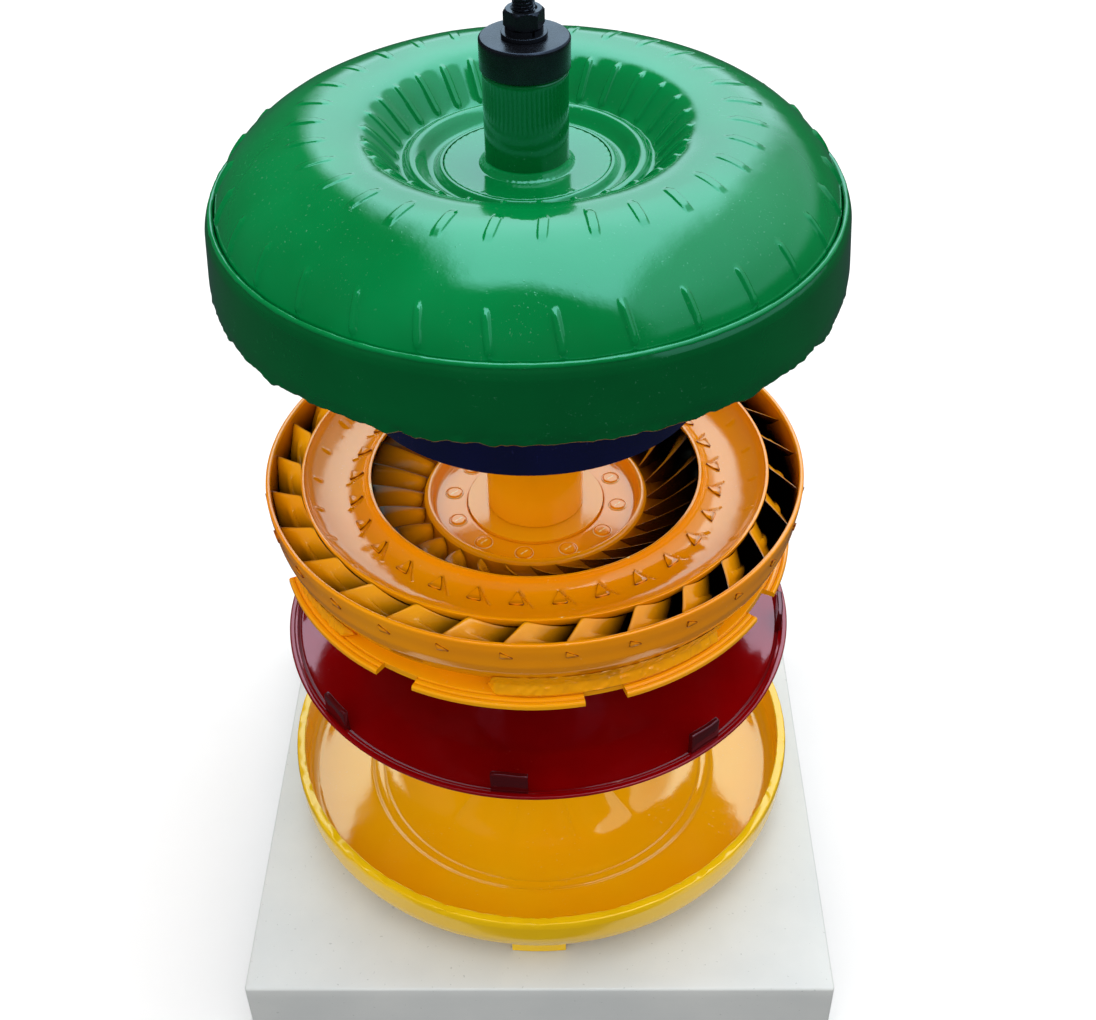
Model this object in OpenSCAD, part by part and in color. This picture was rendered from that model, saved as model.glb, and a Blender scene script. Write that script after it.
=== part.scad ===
// Torque converter taken apart along a threaded rod and shown on a square plinth.
// Every wheel turns on its own journal. Units are millimetres, +Z runs up the rod,
// and the origin is the middle of the plinth's underside.

/* [Plinth] */
// Side of the square plinth
plinth_w = 324; // [318:1:350]
// Height of the plinth's top above the ground
plinth_h = 50; // [46:1:60]
// Sheet thickness of the plinth case
plinth_sheet = 3; // [2:0.5:4]
// Height of a rubber foot
foot_h = 6; // [4:1:8]

/* [Stations above the plinth top] */
// Rim of the front cover
cover_up = 40.5; // [40.5:0.5:44]
// Rim of the lock-up piston
piston_up = 137.5; // [130:0.5:145]
// Rim of the turbine
turbine_up = 244.5; // [238:0.5:250]
// Lower edge of the stator
stator_up = 301.5; // [298:0.5:306]
// Weld line of the pump
pump_up = 402; // [399:0.5:408]

/* [Wheels] */
// Outer diameter of the pump skirt
housing_d = 300; // [299:0.5:304]
// Diameter of the neck that drives the oil pump
neck_d = 38.2; // [37:0.1:39]
// Diameter of the stator's outer ring
stator_d = 177.4; // [174:0.2:180]
// Height of the bent tabs above the piston's rim
tab_h = 12; // [8:1:15]

/* [Counts] */
// Blades in the pump
pump_blade_n = 31; // [25:1:31]
// Blades in the turbine
turbine_blade_n = 29; // [23:1:29]
// Vanes in the stator
vane_n = 19; // [13:1:19]
// Rivets that hold the turbine shell to its hub
rivet_n = 12; // [6:1:14]
// Tabs on the piston, and notches in the drive ring
tab_n = 8; // [4:1:10]
// Lugs that bolt the front cover to a drive plate
lug_n = 4; // [3:1:6]

/* [Centre stack] */
// Diameter of the threaded rod
rod_d = 10; // [9:0.5:10]
// Diameter of the journals that the wheels turn on
journal_d = 24; // [23:0.5:24]
// Radial clearance of a running fit
run_gap = 0.05; // [0.02:0.01:0.08]

/* [Hidden] */
$fn = 96;

green = "#0a8a44";
orange = "#e8920e";
yellow = "#f0b400";
red = "#7c0a10";
navy = "#15175a";
black = "#17181c";
steel = "#9aa0a6";
bronze = "#b08d57";
white = "#e6e9e7";
dark = "#2b2b2b";
paper = "#5a4632";

// Heights of the stations above the ground
z_cover = plinth_h + cover_up;
z_piston = plinth_h + piston_up;
z_turbine = plinth_h + turbine_up;
z_stator = plinth_h + stator_up;
z_pump = plinth_h + pump_up;

// Centre stack
rod_r = rod_d / 2;
rod_hole_r = 5.15;
journal_r = journal_d / 2;
bush_bore_r = journal_r + run_gap;
spacer_r = 18;
head_r = 33;
head_h = 4;
rod_top_z = z_pump + 95;

// Needle thrust bearing: race, needle and play between them
race_t = 1;
needle_r = 1.25;
needle_play = 0.05;
bearing_h = 2 * race_t + 2 * needle_r + 2 * needle_play;

// Heights in the stack, from the plinth up
pilot_foot_z = plinth_h + 3.3;
cover_journal_top_z = z_cover - 6.5;
piston_seat_z = z_piston - 19.2;
piston_journal_top_z = z_piston + 11;
turbine_hub_foot_z = z_turbine - 52;
turbine_seat_z = turbine_hub_foot_z - bearing_h;
turbine_journal_top_z = z_turbine - 27.6;
stator_seat_z = z_stator + 0.6 - bearing_h;
inner_race_top_z = z_stator + 32;
pump_flange_z = z_pump + 7.5;
pump_seat_z = pump_flange_z - bearing_h;
neck_top_z = z_pump + 56.6;
collar_z = neck_top_z + 0.5;
collar_h = 14.4;
collar_r = 20.1;

// ---- shapes used more than once ----

// Ring with a bore through it
module ring(r_out, r_in, h) {
    difference() {
        cylinder(r = r_out, h = h);
        translate([0, 0, -1]) cylinder(r = r_in, h = h + 2);
    }
}

// Copies about the rod, the first at an angle
module around(n, first = 0) {
    for (i = [0:n - 1]) rotate([0, 0, first + i * 360 / n]) children();
}

// Spacer that carries one wheel: a tube, an optional head and a journal above it
module spacer(z0, z_seat, z_top, r_tube, r_head) {
    difference() {
        union() {
            translate([0, 0, z0]) cylinder(r = r_tube, h = z_seat - z0);
            translate([0, 0, z_seat - head_h]) cylinder(r = r_head, h = head_h);
            translate([0, 0, z_seat]) cylinder(r = journal_r, h = z_top - z_seat);
        }
        translate([0, 0, z0 - 1]) cylinder(r = rod_hole_r, h = z_top - z0 + 2);
    }
}

// Profile moved sideways by d, to the left of its direction of travel
function unit(v) = v / norm(v);
function left_of(v) = [-v[1], v[0]];
function tangent(p, i) = unit(p[min(i + 1, len(p) - 1)] - p[max(i - 1, 0)]);
function beside(p, d) = [for (i = [0:len(p) - 1]) p[i] + d * left_of(tangent(p, i))];
function backwards(p) = [for (i = [len(p) - 1:-1:0]) p[i]];

// Point at a share s of the way along a profile's list
function lerp(a, b, t) = a + (b - a) * t;
function along(p, s) = let (q = s * (len(p) - 1), i = min(floor(q), len(p) - 2))
    lerp(p[i], p[i + 1], q - i);

// ---- blades: thin bent sheets between a shell and its core ring ----
blade_steps = 9;
blade_rows = 2;

// Angle of a blade at share s from its rim end and share v from shell to core ring
function blade_turn(s, v, rim, exit, belly) =
    lerp(rim[0], rim[1], v) * (1 - s) + lerp(exit[0], exit[1], v) * s + belly * sin(180 * s);
function blade_point(shell, core, s, v, turn, side, t) =
    let (p = lerp(along(shell, s), along(core, s), v), a = turn + side * t / p[0] * 28.65)
    [p[0] * cos(a), p[0] * sin(a), p[1]];
function blade_points(shell, core, rim, exit, belly, t) =
    [for (side = [-1, 1]) for (i = [0:blade_steps]) for (j = [0:blade_rows])
        let (s = i / blade_steps, v = j / blade_rows)
        blade_point(shell, core, s, v, blade_turn(s, v, rim, exit, belly), side, t)];
function cell(k, i, j) = k * (blade_steps + 1) * (blade_rows + 1) + i * (blade_rows + 1) + j;
function quad(a, b, c, d) = [[a, b, c], [a, c, d]];
function flat(lists) = [for (l = lists) each l];
blade_faces = flat([
    for (i = [0:blade_steps - 1]) for (j = [0:blade_rows - 1]) each [
        quad(cell(0, i, j), cell(0, i, j + 1), cell(0, i + 1, j + 1), cell(0, i + 1, j)),
        quad(cell(1, i, j), cell(1, i + 1, j), cell(1, i + 1, j + 1), cell(1, i, j + 1))],
    for (i = [0:blade_steps - 1]) each [
        quad(cell(0, i, 0), cell(0, i + 1, 0), cell(1, i + 1, 0), cell(1, i, 0)),
        quad(cell(0, i, blade_rows), cell(1, i, blade_rows), cell(1, i + 1, blade_rows),
             cell(0, i + 1, blade_rows))],
    for (j = [0:blade_rows - 1]) each [
        quad(cell(0, 0, j), cell(1, 0, j), cell(1, 0, j + 1), cell(0, 0, j + 1)),
        quad(cell(0, blade_steps, j), cell(0, blade_steps, j + 1),
             cell(1, blade_steps, j + 1), cell(1, blade_steps, j))]]);

// ---- needle thrust bearing ----
module bearing_lower_race(z, r_in, r_out) {
    translate([0, 0, z]) ring(r_out, r_in, race_t);
}

module bearing_upper_race(z, r_in, r_out) {
    translate([0, 0, z + bearing_h - race_t]) ring(r_out, r_in, race_t);
}

needle_n = 20;
needle_l = 8;

module bearing_cage(z, r_in, r_out) {
    cage_t = 1.4;
    mid_r = (r_in + r_out) / 2;
    translate([0, 0, z + bearing_h / 2 - cage_t / 2]) difference() {
        ring(r_out - 0.4, r_in + 0.4, cage_t);
        around(needle_n) translate([mid_r - needle_l / 2 - 0.2, -needle_r - 0.15, -1])
            cube([needle_l + 0.4, 2 * needle_r + 0.3, cage_t + 2]);
    }
}

module bearing_needles(z, r_in, r_out) {
    mid_r = (r_in + r_out) / 2;
    around(needle_n) translate([mid_r - needle_l / 2, 0, z + bearing_h / 2])
        rotate([0, 90, 0]) cylinder(r = needle_r, h = needle_l, $fn = 24);
}

// ---- plinth ----
foot_place = plinth_w / 2 - 30;
board_t = 6;
board_hole_r = 30;

module at_feet() {
    for (x = [-1, 1], y = [-1, 1]) translate([x * foot_place, y * foot_place, 0]) children();
}

module plinth_case() {
    inside = plinth_w - 2 * plinth_sheet;
    color(white) difference() {
        translate([-plinth_w / 2, -plinth_w / 2, foot_h])
            cube([plinth_w, plinth_w, plinth_h - foot_h]);
        translate([-inside / 2, -inside / 2, foot_h - 1])
            cube([inside, inside, plinth_h - foot_h - plinth_sheet + 1]);
        translate([0, 0, plinth_h - plinth_sheet - 1])
            cylinder(r = rod_hole_r, h = plinth_sheet + 2);
    }
}

module plinth_base_board() {
    board_w = plinth_w - 2 * plinth_sheet - 0.4;
    color(white) difference() {
        translate([-board_w / 2, -board_w / 2, foot_h]) cube([board_w, board_w, board_t]);
        translate([0, 0, foot_h - 1]) cylinder(r = board_hole_r, h = board_t + 2);
        at_feet() translate([0, 0, foot_h - 1]) cylinder(r = 2.15, h = board_t + 2);
    }
}

module rubber_feet() {
    color(dark) at_feet() difference() {
        rotate_extrude() polygon([[0, 0], [14.5, 0], [16, foot_h - 0.02], [0, foot_h - 0.02]]);
        translate([0, 0, -1]) cylinder(r = 5, h = 3.5);
        translate([0, 0, -1]) cylinder(r = 2.15, h = foot_h + 2);
    }
}

module foot_screws() {
    color(steel) at_feet() {
        translate([0, 0, 0.6]) cylinder(r = 4, h = 1.88);
        translate([0, 0, 2.4]) cylinder(r = 2, h = foot_h + board_t - 3);
    }
}

// ---- rod, nuts and spacers ----
nut_af = 16;
nut_h = 8;

// Hexagon nut with chamfered corners
module hex_nut(z) {
    corner_r = nut_af / 2 / cos(30);
    translate([0, 0, z]) difference() {
        intersection() {
            rotate([0, 0, 10]) cylinder(r = corner_r, h = nut_h, $fn = 6);
            rotate_extrude() polygon([[0, 0], [nut_af / 2 - 0.2, 0], [corner_r + 0.1, 1.2],
                [corner_r + 0.1, nut_h - 1.2], [nut_af / 2 - 0.2, nut_h], [0, nut_h]]);
        }
        translate([0, 0, -1]) cylinder(r = rod_r + 0.05, h = nut_h + 2);
    }
}

// Stud: rolled shank, and full thread diameter on the free end above the nut
module threaded_rod() {
    foot_z = 20;
    free_z = collar_z + collar_h + 4.5 + nut_h;
    color(black) {
        translate([0, 0, foot_z]) cylinder(r = rod_r - 0.25, h = free_z - foot_z);
        translate([0, 0, free_z]) cylinder(r = rod_r, h = rod_top_z - free_z - 1);
        translate([0, 0, rod_top_z - 1]) cylinder(r1 = rod_r, r2 = rod_r - 1, h = 1);
    }
}

module rod_base_washer() {
    color(steel) translate([0, 0, plinth_h - plinth_sheet - 2.02]) ring(15, 5.2, 2);
}

module rod_base_nut() {
    color(steel) hex_nut(plinth_h - plinth_sheet - 2.04 - nut_h);
}

module cover_spacer() {
    color(steel) difference() {
        union() {
            translate([0, 0, plinth_h]) cylinder(r = 19.5, h = 3);
            translate([0, 0, plinth_h]) cylinder(r = journal_r, h = cover_journal_top_z - plinth_h);
        }
        translate([0, 0, plinth_h - 1])
            cylinder(r = rod_hole_r, h = cover_journal_top_z - plinth_h + 2);
    }
}

module piston_spacer() {
    color(steel) spacer(cover_journal_top_z, piston_seat_z, piston_journal_top_z,
                        spacer_r, spacer_r + 1);
}

module turbine_spacer() {
    color(steel) spacer(piston_journal_top_z, turbine_seat_z, turbine_journal_top_z,
                        spacer_r, head_r);
}

module stator_spacer_tube() {
    color(orange) spacer(turbine_journal_top_z, stator_seat_z, inner_race_top_z, 25.5, 41);
}

module pump_spacer() {
    color(steel) spacer(inner_race_top_z, pump_seat_z, collar_z, 20, head_r);
}

module clamp_collar() {
    edge = 0.8;
    color(black) translate([0, 0, collar_z]) difference() {
        rotate_extrude() polygon([[0, 0], [collar_r - edge, 0], [collar_r, edge],
            [collar_r, collar_h - edge], [collar_r - edge, collar_h], [0, collar_h]]);
        translate([0, 0, -1]) cylinder(r = rod_hole_r, h = collar_h + 2);
    }
}

module flat_washer() {
    color(black) translate([0, 0, collar_z + collar_h]) ring(10.15, 5.2, 2);
}

module spring_washer() {
    washer_t = 2.2;
    color(black) translate([0, 0, collar_z + collar_h + 2]) difference() {
        ring(8.4, 5.3, washer_t);
        rotate([0, 0, -60]) translate([0, -0.6, -1]) cube([12, 1.2, washer_t + 2]);
    }
}

module top_nut() {
    color(black) hex_nut(collar_z + collar_h + 4.2);
}

// ---- front cover ----
cover_t = 4.5;
cover_floor = -28.4;
corner_steps = 6;

// Inside of the cover from its rim to the bore in the middle
cover_inside = concat(
    [[143.4, 0], [143.7, -12]],
    [for (i = [1:corner_steps]) let (a = 90 * i / corner_steps)
        [143.7 - 14 * (1 - cos(a)), -14.4 - 14 * sin(a)]],
    [[101.5, cover_floor], [99.5, cover_floor - 1.9], [94, cover_floor - 1.9]],
    [for (i = [1:8]) let (a = 180 * i / 8)
        [94 - 68 * i / 8, cover_floor - 1.9 + 11 * (1 - cos(a))]]);
// Outside of the cover from its rim to the bore
cover_outside = concat(
    [[148.2, 0], [148.8, -4], [148.6, -12]],
    [for (i = [1:corner_steps]) let (a = 90 * i / corner_steps)
        [148.6 - 20 * (1 - cos(a)), -12 - 20.9 * sin(a)]],
    [[102.5, cover_floor - cover_t], [100.5, cover_floor - 1.9 - cover_t],
     [93, cover_floor - 1.9 - cover_t]],
    [for (i = [1:8]) let (a = 180 * i / 8)
        [93 - 67 * i / 8, cover_floor - 1.9 - cover_t + 11 * (1 - cos(a))]]);
pilot_r = 20;

module front_cover() {
    top = cover_floor - 1.9 + 22;
    color(yellow) translate([0, 0, z_cover]) rotate_extrude() polygon(concat(
        cover_inside, [[pilot_r + 0.03, top], [pilot_r + 0.03, top - cover_t]],
        backwards(cover_outside)));
}

module crank_pilot() {
    color(yellow) difference() {
        translate([0, 0, pilot_foot_z]) cylinder(r = pilot_r, h = z_cover - 8.3 - pilot_foot_z);
        translate([0, 0, pilot_foot_z - 1]) cylinder(r = 15, h = z_cover);
    }
}

module pilot_bush() {
    color(bronze) translate([0, 0, pilot_foot_z + 1])
        ring(14.98, bush_bore_r, z_cover - 9.5 - pilot_foot_z);
}

// Pads under the cover with a threaded hole each
lug_place = 126;
module mounting_lugs() {
    lug_top = z_cover + cover_floor - cover_t - 0.02;
    lug_foot = plinth_h + 0.4;
    color(yellow) around(lug_n, -90) translate([lug_place, 0, lug_foot]) difference() {
        intersection() {
            translate([-14, -15, 0]) cube([28, 30, lug_top - lug_foot]);
            translate([-lug_place, 0, 0]) cylinder(r = 138, h = 20);
        }
        translate([-4, 0, -1]) cylinder(r = 4.2, h = 20);
    }
}

// ---- lock-up piston ----
piston_bush_r = 30;
piston_profile = [[30.06, 6], [30.06, -12], [60, -12], [110, -5.6], [134, -5.6],
    [137.5, -4.2], [141, -1.6], [141, -0.5], [140.5, 0], [138.4, 0], [137.9, -0.5],
    [136.4, -0.5], [135.9, -1.6], [134.6, -2.6], [110, -2.6], [60, -9], [34.5, -9],
    [33, -7.5], [33, 6]];

// Sheet tab bent up behind the rim
module tab() {
    tab_w = 19;
    translate([0, tab_w / 2, 0]) rotate([90, 0, 0]) linear_extrude(height = tab_w)
        polygon([[134.4, -3], [137.6, -3], [137.6, tab_h - 0.6], [137, tab_h], [134.8, tab_h]]);
}

module lockup_piston() {
    color(red) translate([0, 0, z_piston]) {
        rotate_extrude() polygon(piston_profile);
        around(tab_n, -95.3) tab();
    }
}

module friction_lining() {
    color(paper) translate([0, 0, z_piston - 7.02]) ring(133.5, 112, 1.4);
}

module piston_support_bush() {
    color(steel) translate([0, 0, z_piston]) difference() {
        union() {
            translate([0, 0, -19]) cylinder(r = 42, h = 6.8);
            translate([0, 0, -19]) cylinder(r = piston_bush_r, h = 29.8);
        }
        translate([0, 0, -20]) cylinder(r = bush_bore_r, h = 40);
        translate([0, 0, -4]) ring(piston_bush_r + 1, 27.5, 3);
    }
}

module piston_seal_ring() {
    color(dark) translate([0, 0, z_piston - 3.9]) ring(piston_bush_r + 0.03, 27.6, 2.8);
}

// ---- turbine ----
sheet_t = 2.4;
// Inside of the turbine shell from its rim, round the bowl, to the lip by the hub
turbine_bowl = concat(
    [[138.2, 0], [137.9, -5]],
    [for (i = [0:10]) let (a = 9 * i) [104 + 33 * cos(a), -11 - 30.6 * sin(a)]],
    [for (i = [1:7]) let (a = 90 * i / 7) [104 - 44.6 * sin(a), -41.6 + 17.6 * (1 - cos(a))]]);
turbine_flange_z = -29.4;
shell_hole_r = 36.3;

module turbine_shell() {
    lip = [[58.6, -22.6], [57, -21.8], [55.4, -22.6], [54.2, turbine_flange_z + 1.2],
           [52.8, turbine_flange_z], [shell_hole_r, turbine_flange_z]];
    foot = [[shell_hole_r, turbine_flange_z - sheet_t], [57.5, turbine_flange_z - sheet_t]];
    under = beside(turbine_bowl, sheet_t);
    color(orange) translate([0, 0, z_turbine]) difference() {
        rotate_extrude() polygon(concat(turbine_bowl, lip, foot,
            backwards([for (i = [0:len(under) - 3]) under[i]])));
        at_rivets() translate([0, 0, -34]) cylinder(r = rivet_r + 0.05, h = 6, $fn = 32);
    }
}

// Core ring: a trough, open upwards
function core_trough(n) = [for (i = [0:n]) let (a = 180 * i / n)
    [104.35 + 16.45 * cos(a), -1.3 - 2.5 * (1 - cos(a)) - 10.6 * sin(a)]];
core_t = 1.6;

module turbine_core_ring() {
    trough = core_trough(18);
    color(orange) translate([0, 0, z_turbine]) rotate_extrude()
        polygon(concat(trough, backwards(beside(trough, core_t))));
}

// Lines that the blades' edges follow, clear of the sheets
turbine_blade_shell = beside([for (i = [1:len(turbine_bowl) - 1]) turbine_bowl[i]], -0.25);
turbine_blade_core = beside(core_trough(18), core_t + 0.5);
blade_t = 1.7;

module turbine_blades() {
    color(orange) translate([0, 0, z_turbine]) around(turbine_blade_n, -95.7)
        polyhedron(blade_points(turbine_blade_shell, turbine_blade_core,
                                [0, 5], [-8, 1.3], 17, blade_t), blade_faces);
}

hub_bore_r = 17;
spline_n = 24;
module turbine_hub() {
    color(orange) translate([0, 0, z_turbine]) difference() {
        union() {
            translate([0, 0, -38]) cylinder(r = 53, h = 38 + turbine_flange_z - sheet_t - 0.02);
            translate([0, 0, -38]) cylinder(r = 36.2, h = 38 - 28.1);
            translate([0, 0, -52]) cylinder(r = 34, h = 20);
        }
        translate([0, 0, -53]) cylinder(r = hub_bore_r, h = 26);
        around(spline_n) translate([hub_bore_r - 1, -1, -53]) cube([2.4, 2, 26]);
        at_rivets() translate([0, 0, -40]) cylinder(r = rivet_r + 0.05, h = 12, $fn = 32);
    }
}

rivet_r = 3;
rivet_place = 44.2;
rivet_head_r = 4.5;
module at_rivets() {
    around(rivet_n, 23.2) translate([rivet_place, 0, 0]) children();
}

module hub_rivets() {
    head = [[0, 0], [rivet_head_r, 0], [rivet_head_r, 0.7], [rivet_head_r - 0.8, 1.5], [0, 1.7]];
    color(orange) translate([0, 0, z_turbine]) at_rivets() {
        translate([0, 0, turbine_flange_z + 0.02]) rotate_extrude($fn = 32) polygon(head);
        translate([0, 0, -38.02]) cylinder(r = rivet_r, h = 9, $fn = 32);
        translate([0, 0, -38.02]) rotate([180, 0, 0]) rotate_extrude($fn = 32) polygon(head);
    }
}

module turbine_bush() {
    color(bronze) translate([0, 0, turbine_hub_foot_z + 1]) ring(hub_bore_r - 0.02, bush_bore_r, 22);
}

drive_ring_r = 136.6;
drive_ring_top = -44.4;
module drive_ring() {
    notch_w = 8.8;
    profile = [[117, -47.4], [drive_ring_r, -47.4], [drive_ring_r, drive_ring_top - 0.8],
        [drive_ring_r - 0.8, drive_ring_top], [132.5, drive_ring_top],
        [132, drive_ring_top + 0.7], [124, drive_ring_top + 1.4], [119.5, drive_ring_top + 2.6],
        [117, drive_ring_top + 1.2]];
    color(orange) translate([0, 0, z_turbine]) difference() {
        rotate_extrude() polygon(profile);
        around(tab_n, -74.8) translate([130, -10.4, -60]) cube([20, 20.8, 30]);
    }
}

// Runs of weld in the corner between the shell and the drive ring
module drive_ring_welds() {
    corner = beside([for (i = [5:9]) turbine_bowl[i]], sheet_t + 0.03);
    low = drive_ring_top + 1.46;
    weld = concat(corner, [[120.4, drive_ring_top + 2.6], [124.1, low], [131.2, low - 0.6],
                           [131.6, low + 1.4], [130.6, -35]]);
    color(orange) translate([0, 0, z_turbine]) around(4, -100)
        rotate_extrude(angle = 56) polygon(weld);
}

// ---- stator and its one-way clutch ----
stator_h = 24;
race_r = 44;
roller_n = 10;
roller_r = 3.95;
roller_pitch_r = 30;
clutch_z = z_stator + 2.7;
clutch_h = 23;

// Vane section in the plane square to a radius
vane_section = concat(
    [for (i = [0:10]) let (t = i / 10) [18 * t * t - 11, 22 * t + 1 + 0.3 * sin(180 * t)]],
    [for (i = [9:-1:1]) let (t = i / 10)
        [18 * t * t - 11 - 5.2 * sin(180 * pow(t, 0.7)), 22 * t + 1 + 1.6 * sin(180 * t)]]);

module vane() {
    rotate([90, 0, 90]) linear_extrude(height = 32) polygon(vane_section);
}

module stator_wheel() {
    outer_r = stator_d / 2;
    rim = [[outer_r - 3.4, 0.8], [outer_r - 2.6, 0], [outer_r - 0.8, 0], [outer_r, 0.8],
        [outer_r, stator_h - 0.8], [outer_r - 0.8, stator_h], [outer_r - 2.6, stator_h],
        [outer_r - 3.4, stator_h - 0.8]];
    color(navy) translate([0, 0, z_stator]) difference() {
        union() {
            rotate_extrude() polygon(rim);
            translate([0, 0, 0.6]) cylinder(r = 56.5, h = 29.4);
            around(vane_n) translate([54.4, 0, 0]) vane();
        }
        translate([0, 0, 2.6]) cylinder(r = race_r, h = 30);
        translate([0, 0, -1]) cylinder(r = 42, h = 30);
        translate([0, 0, 28.1]) cylinder(r = race_r + 1.2, h = 1.3);
    }
}

module clutch_inner_race() {
    color(steel) difference() {
        translate([0, 0, stator_seat_z]) cylinder(r = 26, h = inner_race_top_z - stator_seat_z);
        translate([0, 0, stator_seat_z - 1]) cylinder(r = journal_r + 0.1, h = 60);
        around(24) translate([journal_r - 1, -0.9, stator_seat_z - 1]) cube([3, 1.8, 60]);
    }
}

// Ramp pocket for one roller, with room behind it for the spring
module clutch_pocket() {
    translate([roller_pitch_r, 0, -1]) cylinder(r = roller_r + 0.15, h = clutch_h + 2);
    rotate([0, 0, 7]) translate([roller_pitch_r + 0.3, 0, -1])
        cylinder(r = roller_r + 0.35, h = clutch_h + 2);
    rotate([0, 0, 16]) translate([roller_pitch_r - 5, -3, -1]) cube([8.4, 6, clutch_h + 2]);
}

module clutch_outer_race() {
    color(steel) translate([0, 0, clutch_z]) difference() {
        ring(race_r - 0.02, 26.6, clutch_h);
        around(roller_n) clutch_pocket();
    }
}

module clutch_rollers() {
    color(steel) translate([0, 0, clutch_z + 1]) around(roller_n)
        translate([roller_pitch_r, 0, 0]) cylinder(r = roller_r, h = clutch_h - 2);
}

// Folded leaf springs that push the rollers up their ramps
module clutch_springs() {
    leaf = 0.9;
    zigzag = [[0, -2], [1.4, 2], [2.8, -2], [4.2, 2], [5.6, -2]];
    color(steel) translate([0, 0, clutch_z + 5]) around(roller_n)
        rotate([0, 0, 8.6]) translate([roller_pitch_r, 0, 0]) rotate([0, 0, 90])
        linear_extrude(height = 12) polygon(concat(zigzag,
            backwards([for (p = zigzag) p + [0, leaf]])));
}

module clutch_lower_plate() {
    color(steel) translate([0, 0, z_stator + 0.6]) ring(41.9, 26.8, 2);
}

module clutch_upper_plate() {
    color(steel) translate([0, 0, clutch_z + clutch_h + 0.1]) ring(race_r - 0.05, 26.8, 2);
}

module clutch_snap_ring() {
    color(steel) translate([0, 0, z_stator + 28.15]) difference() {
        ring(race_r + 1.1, race_r - 2.5, 1.2);
        rotate([0, 0, 60]) translate([0, -4, -1]) cube([60, 8, 4]);
    }
}

// ---- pump ----
shell_t = 3.5;
pump_edge_r = housing_d / 2 - 6;
crown_r = 100;
crown_z = 33;
// Outside of the pump shell from the welded edge, over the crown, to the recess
pump_dome = concat(
    [[pump_edge_r, -26], [pump_edge_r, -4]],
    [for (i = [0:12]) let (a = 90 - 7.5 * i)
        [crown_r + (pump_edge_r - 1 - crown_r) * pow(sin(a), 1.2),
         -2.9 + (crown_z + 2.9) * pow(cos(a), 1.2)]],
    [for (i = [1:9]) let (a = 10 * i)
        [crown_r - 40 * pow(sin(a), 1.07), 14.5 + (crown_z - 14.5) * pow(cos(a), 1.07)]]);
pump_recess = [[58, 14.6], [56.5, 16.4], [54, 17], [51.5, 16], [48, 12], [44, 10.6],
    [41.2, 11.4], [40.2, 13.4], [38.35, 13.6]];

module pump_shell() {
    under = beside(pump_dome, shell_t);
    inner = [[58.5, 10.9], [54, 12.6], [49.5, 8.2], [44.5, 7.2], [38.35, 7.6]];
    color(green) translate([0, 0, z_pump]) rotate_extrude() polygon(concat(
        pump_dome, pump_recess, backwards(inner),
        backwards([for (i = [0:len(under) - 2]) under[i]])));
}

// Wall of the sawn-off front cover that is still welded round the pump shell
module pump_skirt() {
    foot_r = housing_d / 2;
    top_r = foot_r - 2.4;
    wall = [[pump_edge_r + 0.03, -37.6], [foot_r - 0.8, -37.6], [foot_r, -36.6],
        [top_r, -5.5], [top_r - 0.8, -2.6], [top_r - 2.4, -0.8], [top_r - 4, -0.2],
        [pump_edge_r + 0.03, -1]];
    color(green) translate([0, 0, z_pump]) rotate_extrude() polygon(wall);
}

neck_bore_r = 15.5;
module pump_hub() {
    neck_r = neck_d / 2;
    profile = [[neck_bore_r, 7.5], [38.2, 7.5], [38.2, 12.7], [37.6, 13.4], [neck_r + 2, 12.2],
        [neck_r + 0.8, 12.8], [neck_r, 14], [neck_r, 55.8], [neck_r - 0.8, 56.6],
        [neck_bore_r, 56.6]];
    color(green) translate([0, 0, z_pump]) rotate_extrude() polygon(profile);
}

module pump_bush() {
    color(bronze) translate([0, 0, z_pump + 28]) ring(neck_bore_r - 0.02, bush_bore_r, 24);
}

// Core ring of the pump: a trough, open downwards
pump_mouth = -9;
function pump_trough(n) = [for (p = core_trough(n)) [p[0], pump_mouth - p[1] - 1.3]];

module pump_core_ring() {
    trough = pump_trough(18);
    color(green) translate([0, 0, z_pump]) rotate_extrude()
        polygon(concat(trough, backwards(beside(trough, -core_t))));
}

pump_cavity = beside(pump_dome, shell_t + 0.3);
pump_blade_shell = concat([[pump_edge_r - shell_t - 0.4, pump_mouth]],
    [for (i = [2:len(pump_cavity) - 2]) pump_cavity[i]]);
pump_blade_core = beside(pump_trough(18), -core_t - 0.5);

module pump_blades() {
    color(green) translate([0, 0, z_pump]) around(pump_blade_n, -95.8)
        polyhedron(blade_points(pump_blade_shell, pump_blade_core,
                                [0, 2], [-4, 0], 9, blade_t), blade_faces);
}

// ---- the three thrust bearings ----
inner_brg = [20, 31];
stator_brg = [28, 40];

module turbine_bearing_lower_race() {
    color(steel) bearing_lower_race(turbine_seat_z, inner_brg[0], inner_brg[1]);
}

module turbine_bearing_cage() {
    color(bronze) bearing_cage(turbine_seat_z, inner_brg[0], inner_brg[1]);
}

module turbine_bearing_needles() {
    color(steel) bearing_needles(turbine_seat_z, inner_brg[0], inner_brg[1]);
}

module turbine_bearing_upper_race() {
    color(steel) bearing_upper_race(turbine_seat_z, inner_brg[0], inner_brg[1]);
}

module stator_bearing_lower_race() {
    color(steel) bearing_lower_race(stator_seat_z, stator_brg[0], stator_brg[1]);
}

module stator_bearing_cage() {
    color(bronze) bearing_cage(stator_seat_z, stator_brg[0], stator_brg[1]);
}

module stator_bearing_needles() {
    color(steel) bearing_needles(stator_seat_z, stator_brg[0], stator_brg[1]);
}

module stator_bearing_upper_race() {
    color(steel) bearing_upper_race(stator_seat_z, stator_brg[0], stator_brg[1]);
}

module pump_bearing_lower_race() {
    color(steel) bearing_lower_race(pump_seat_z, inner_brg[0], inner_brg[1]);
}

module pump_bearing_cage() {
    color(bronze) bearing_cage(pump_seat_z, inner_brg[0], inner_brg[1]);
}

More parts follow.
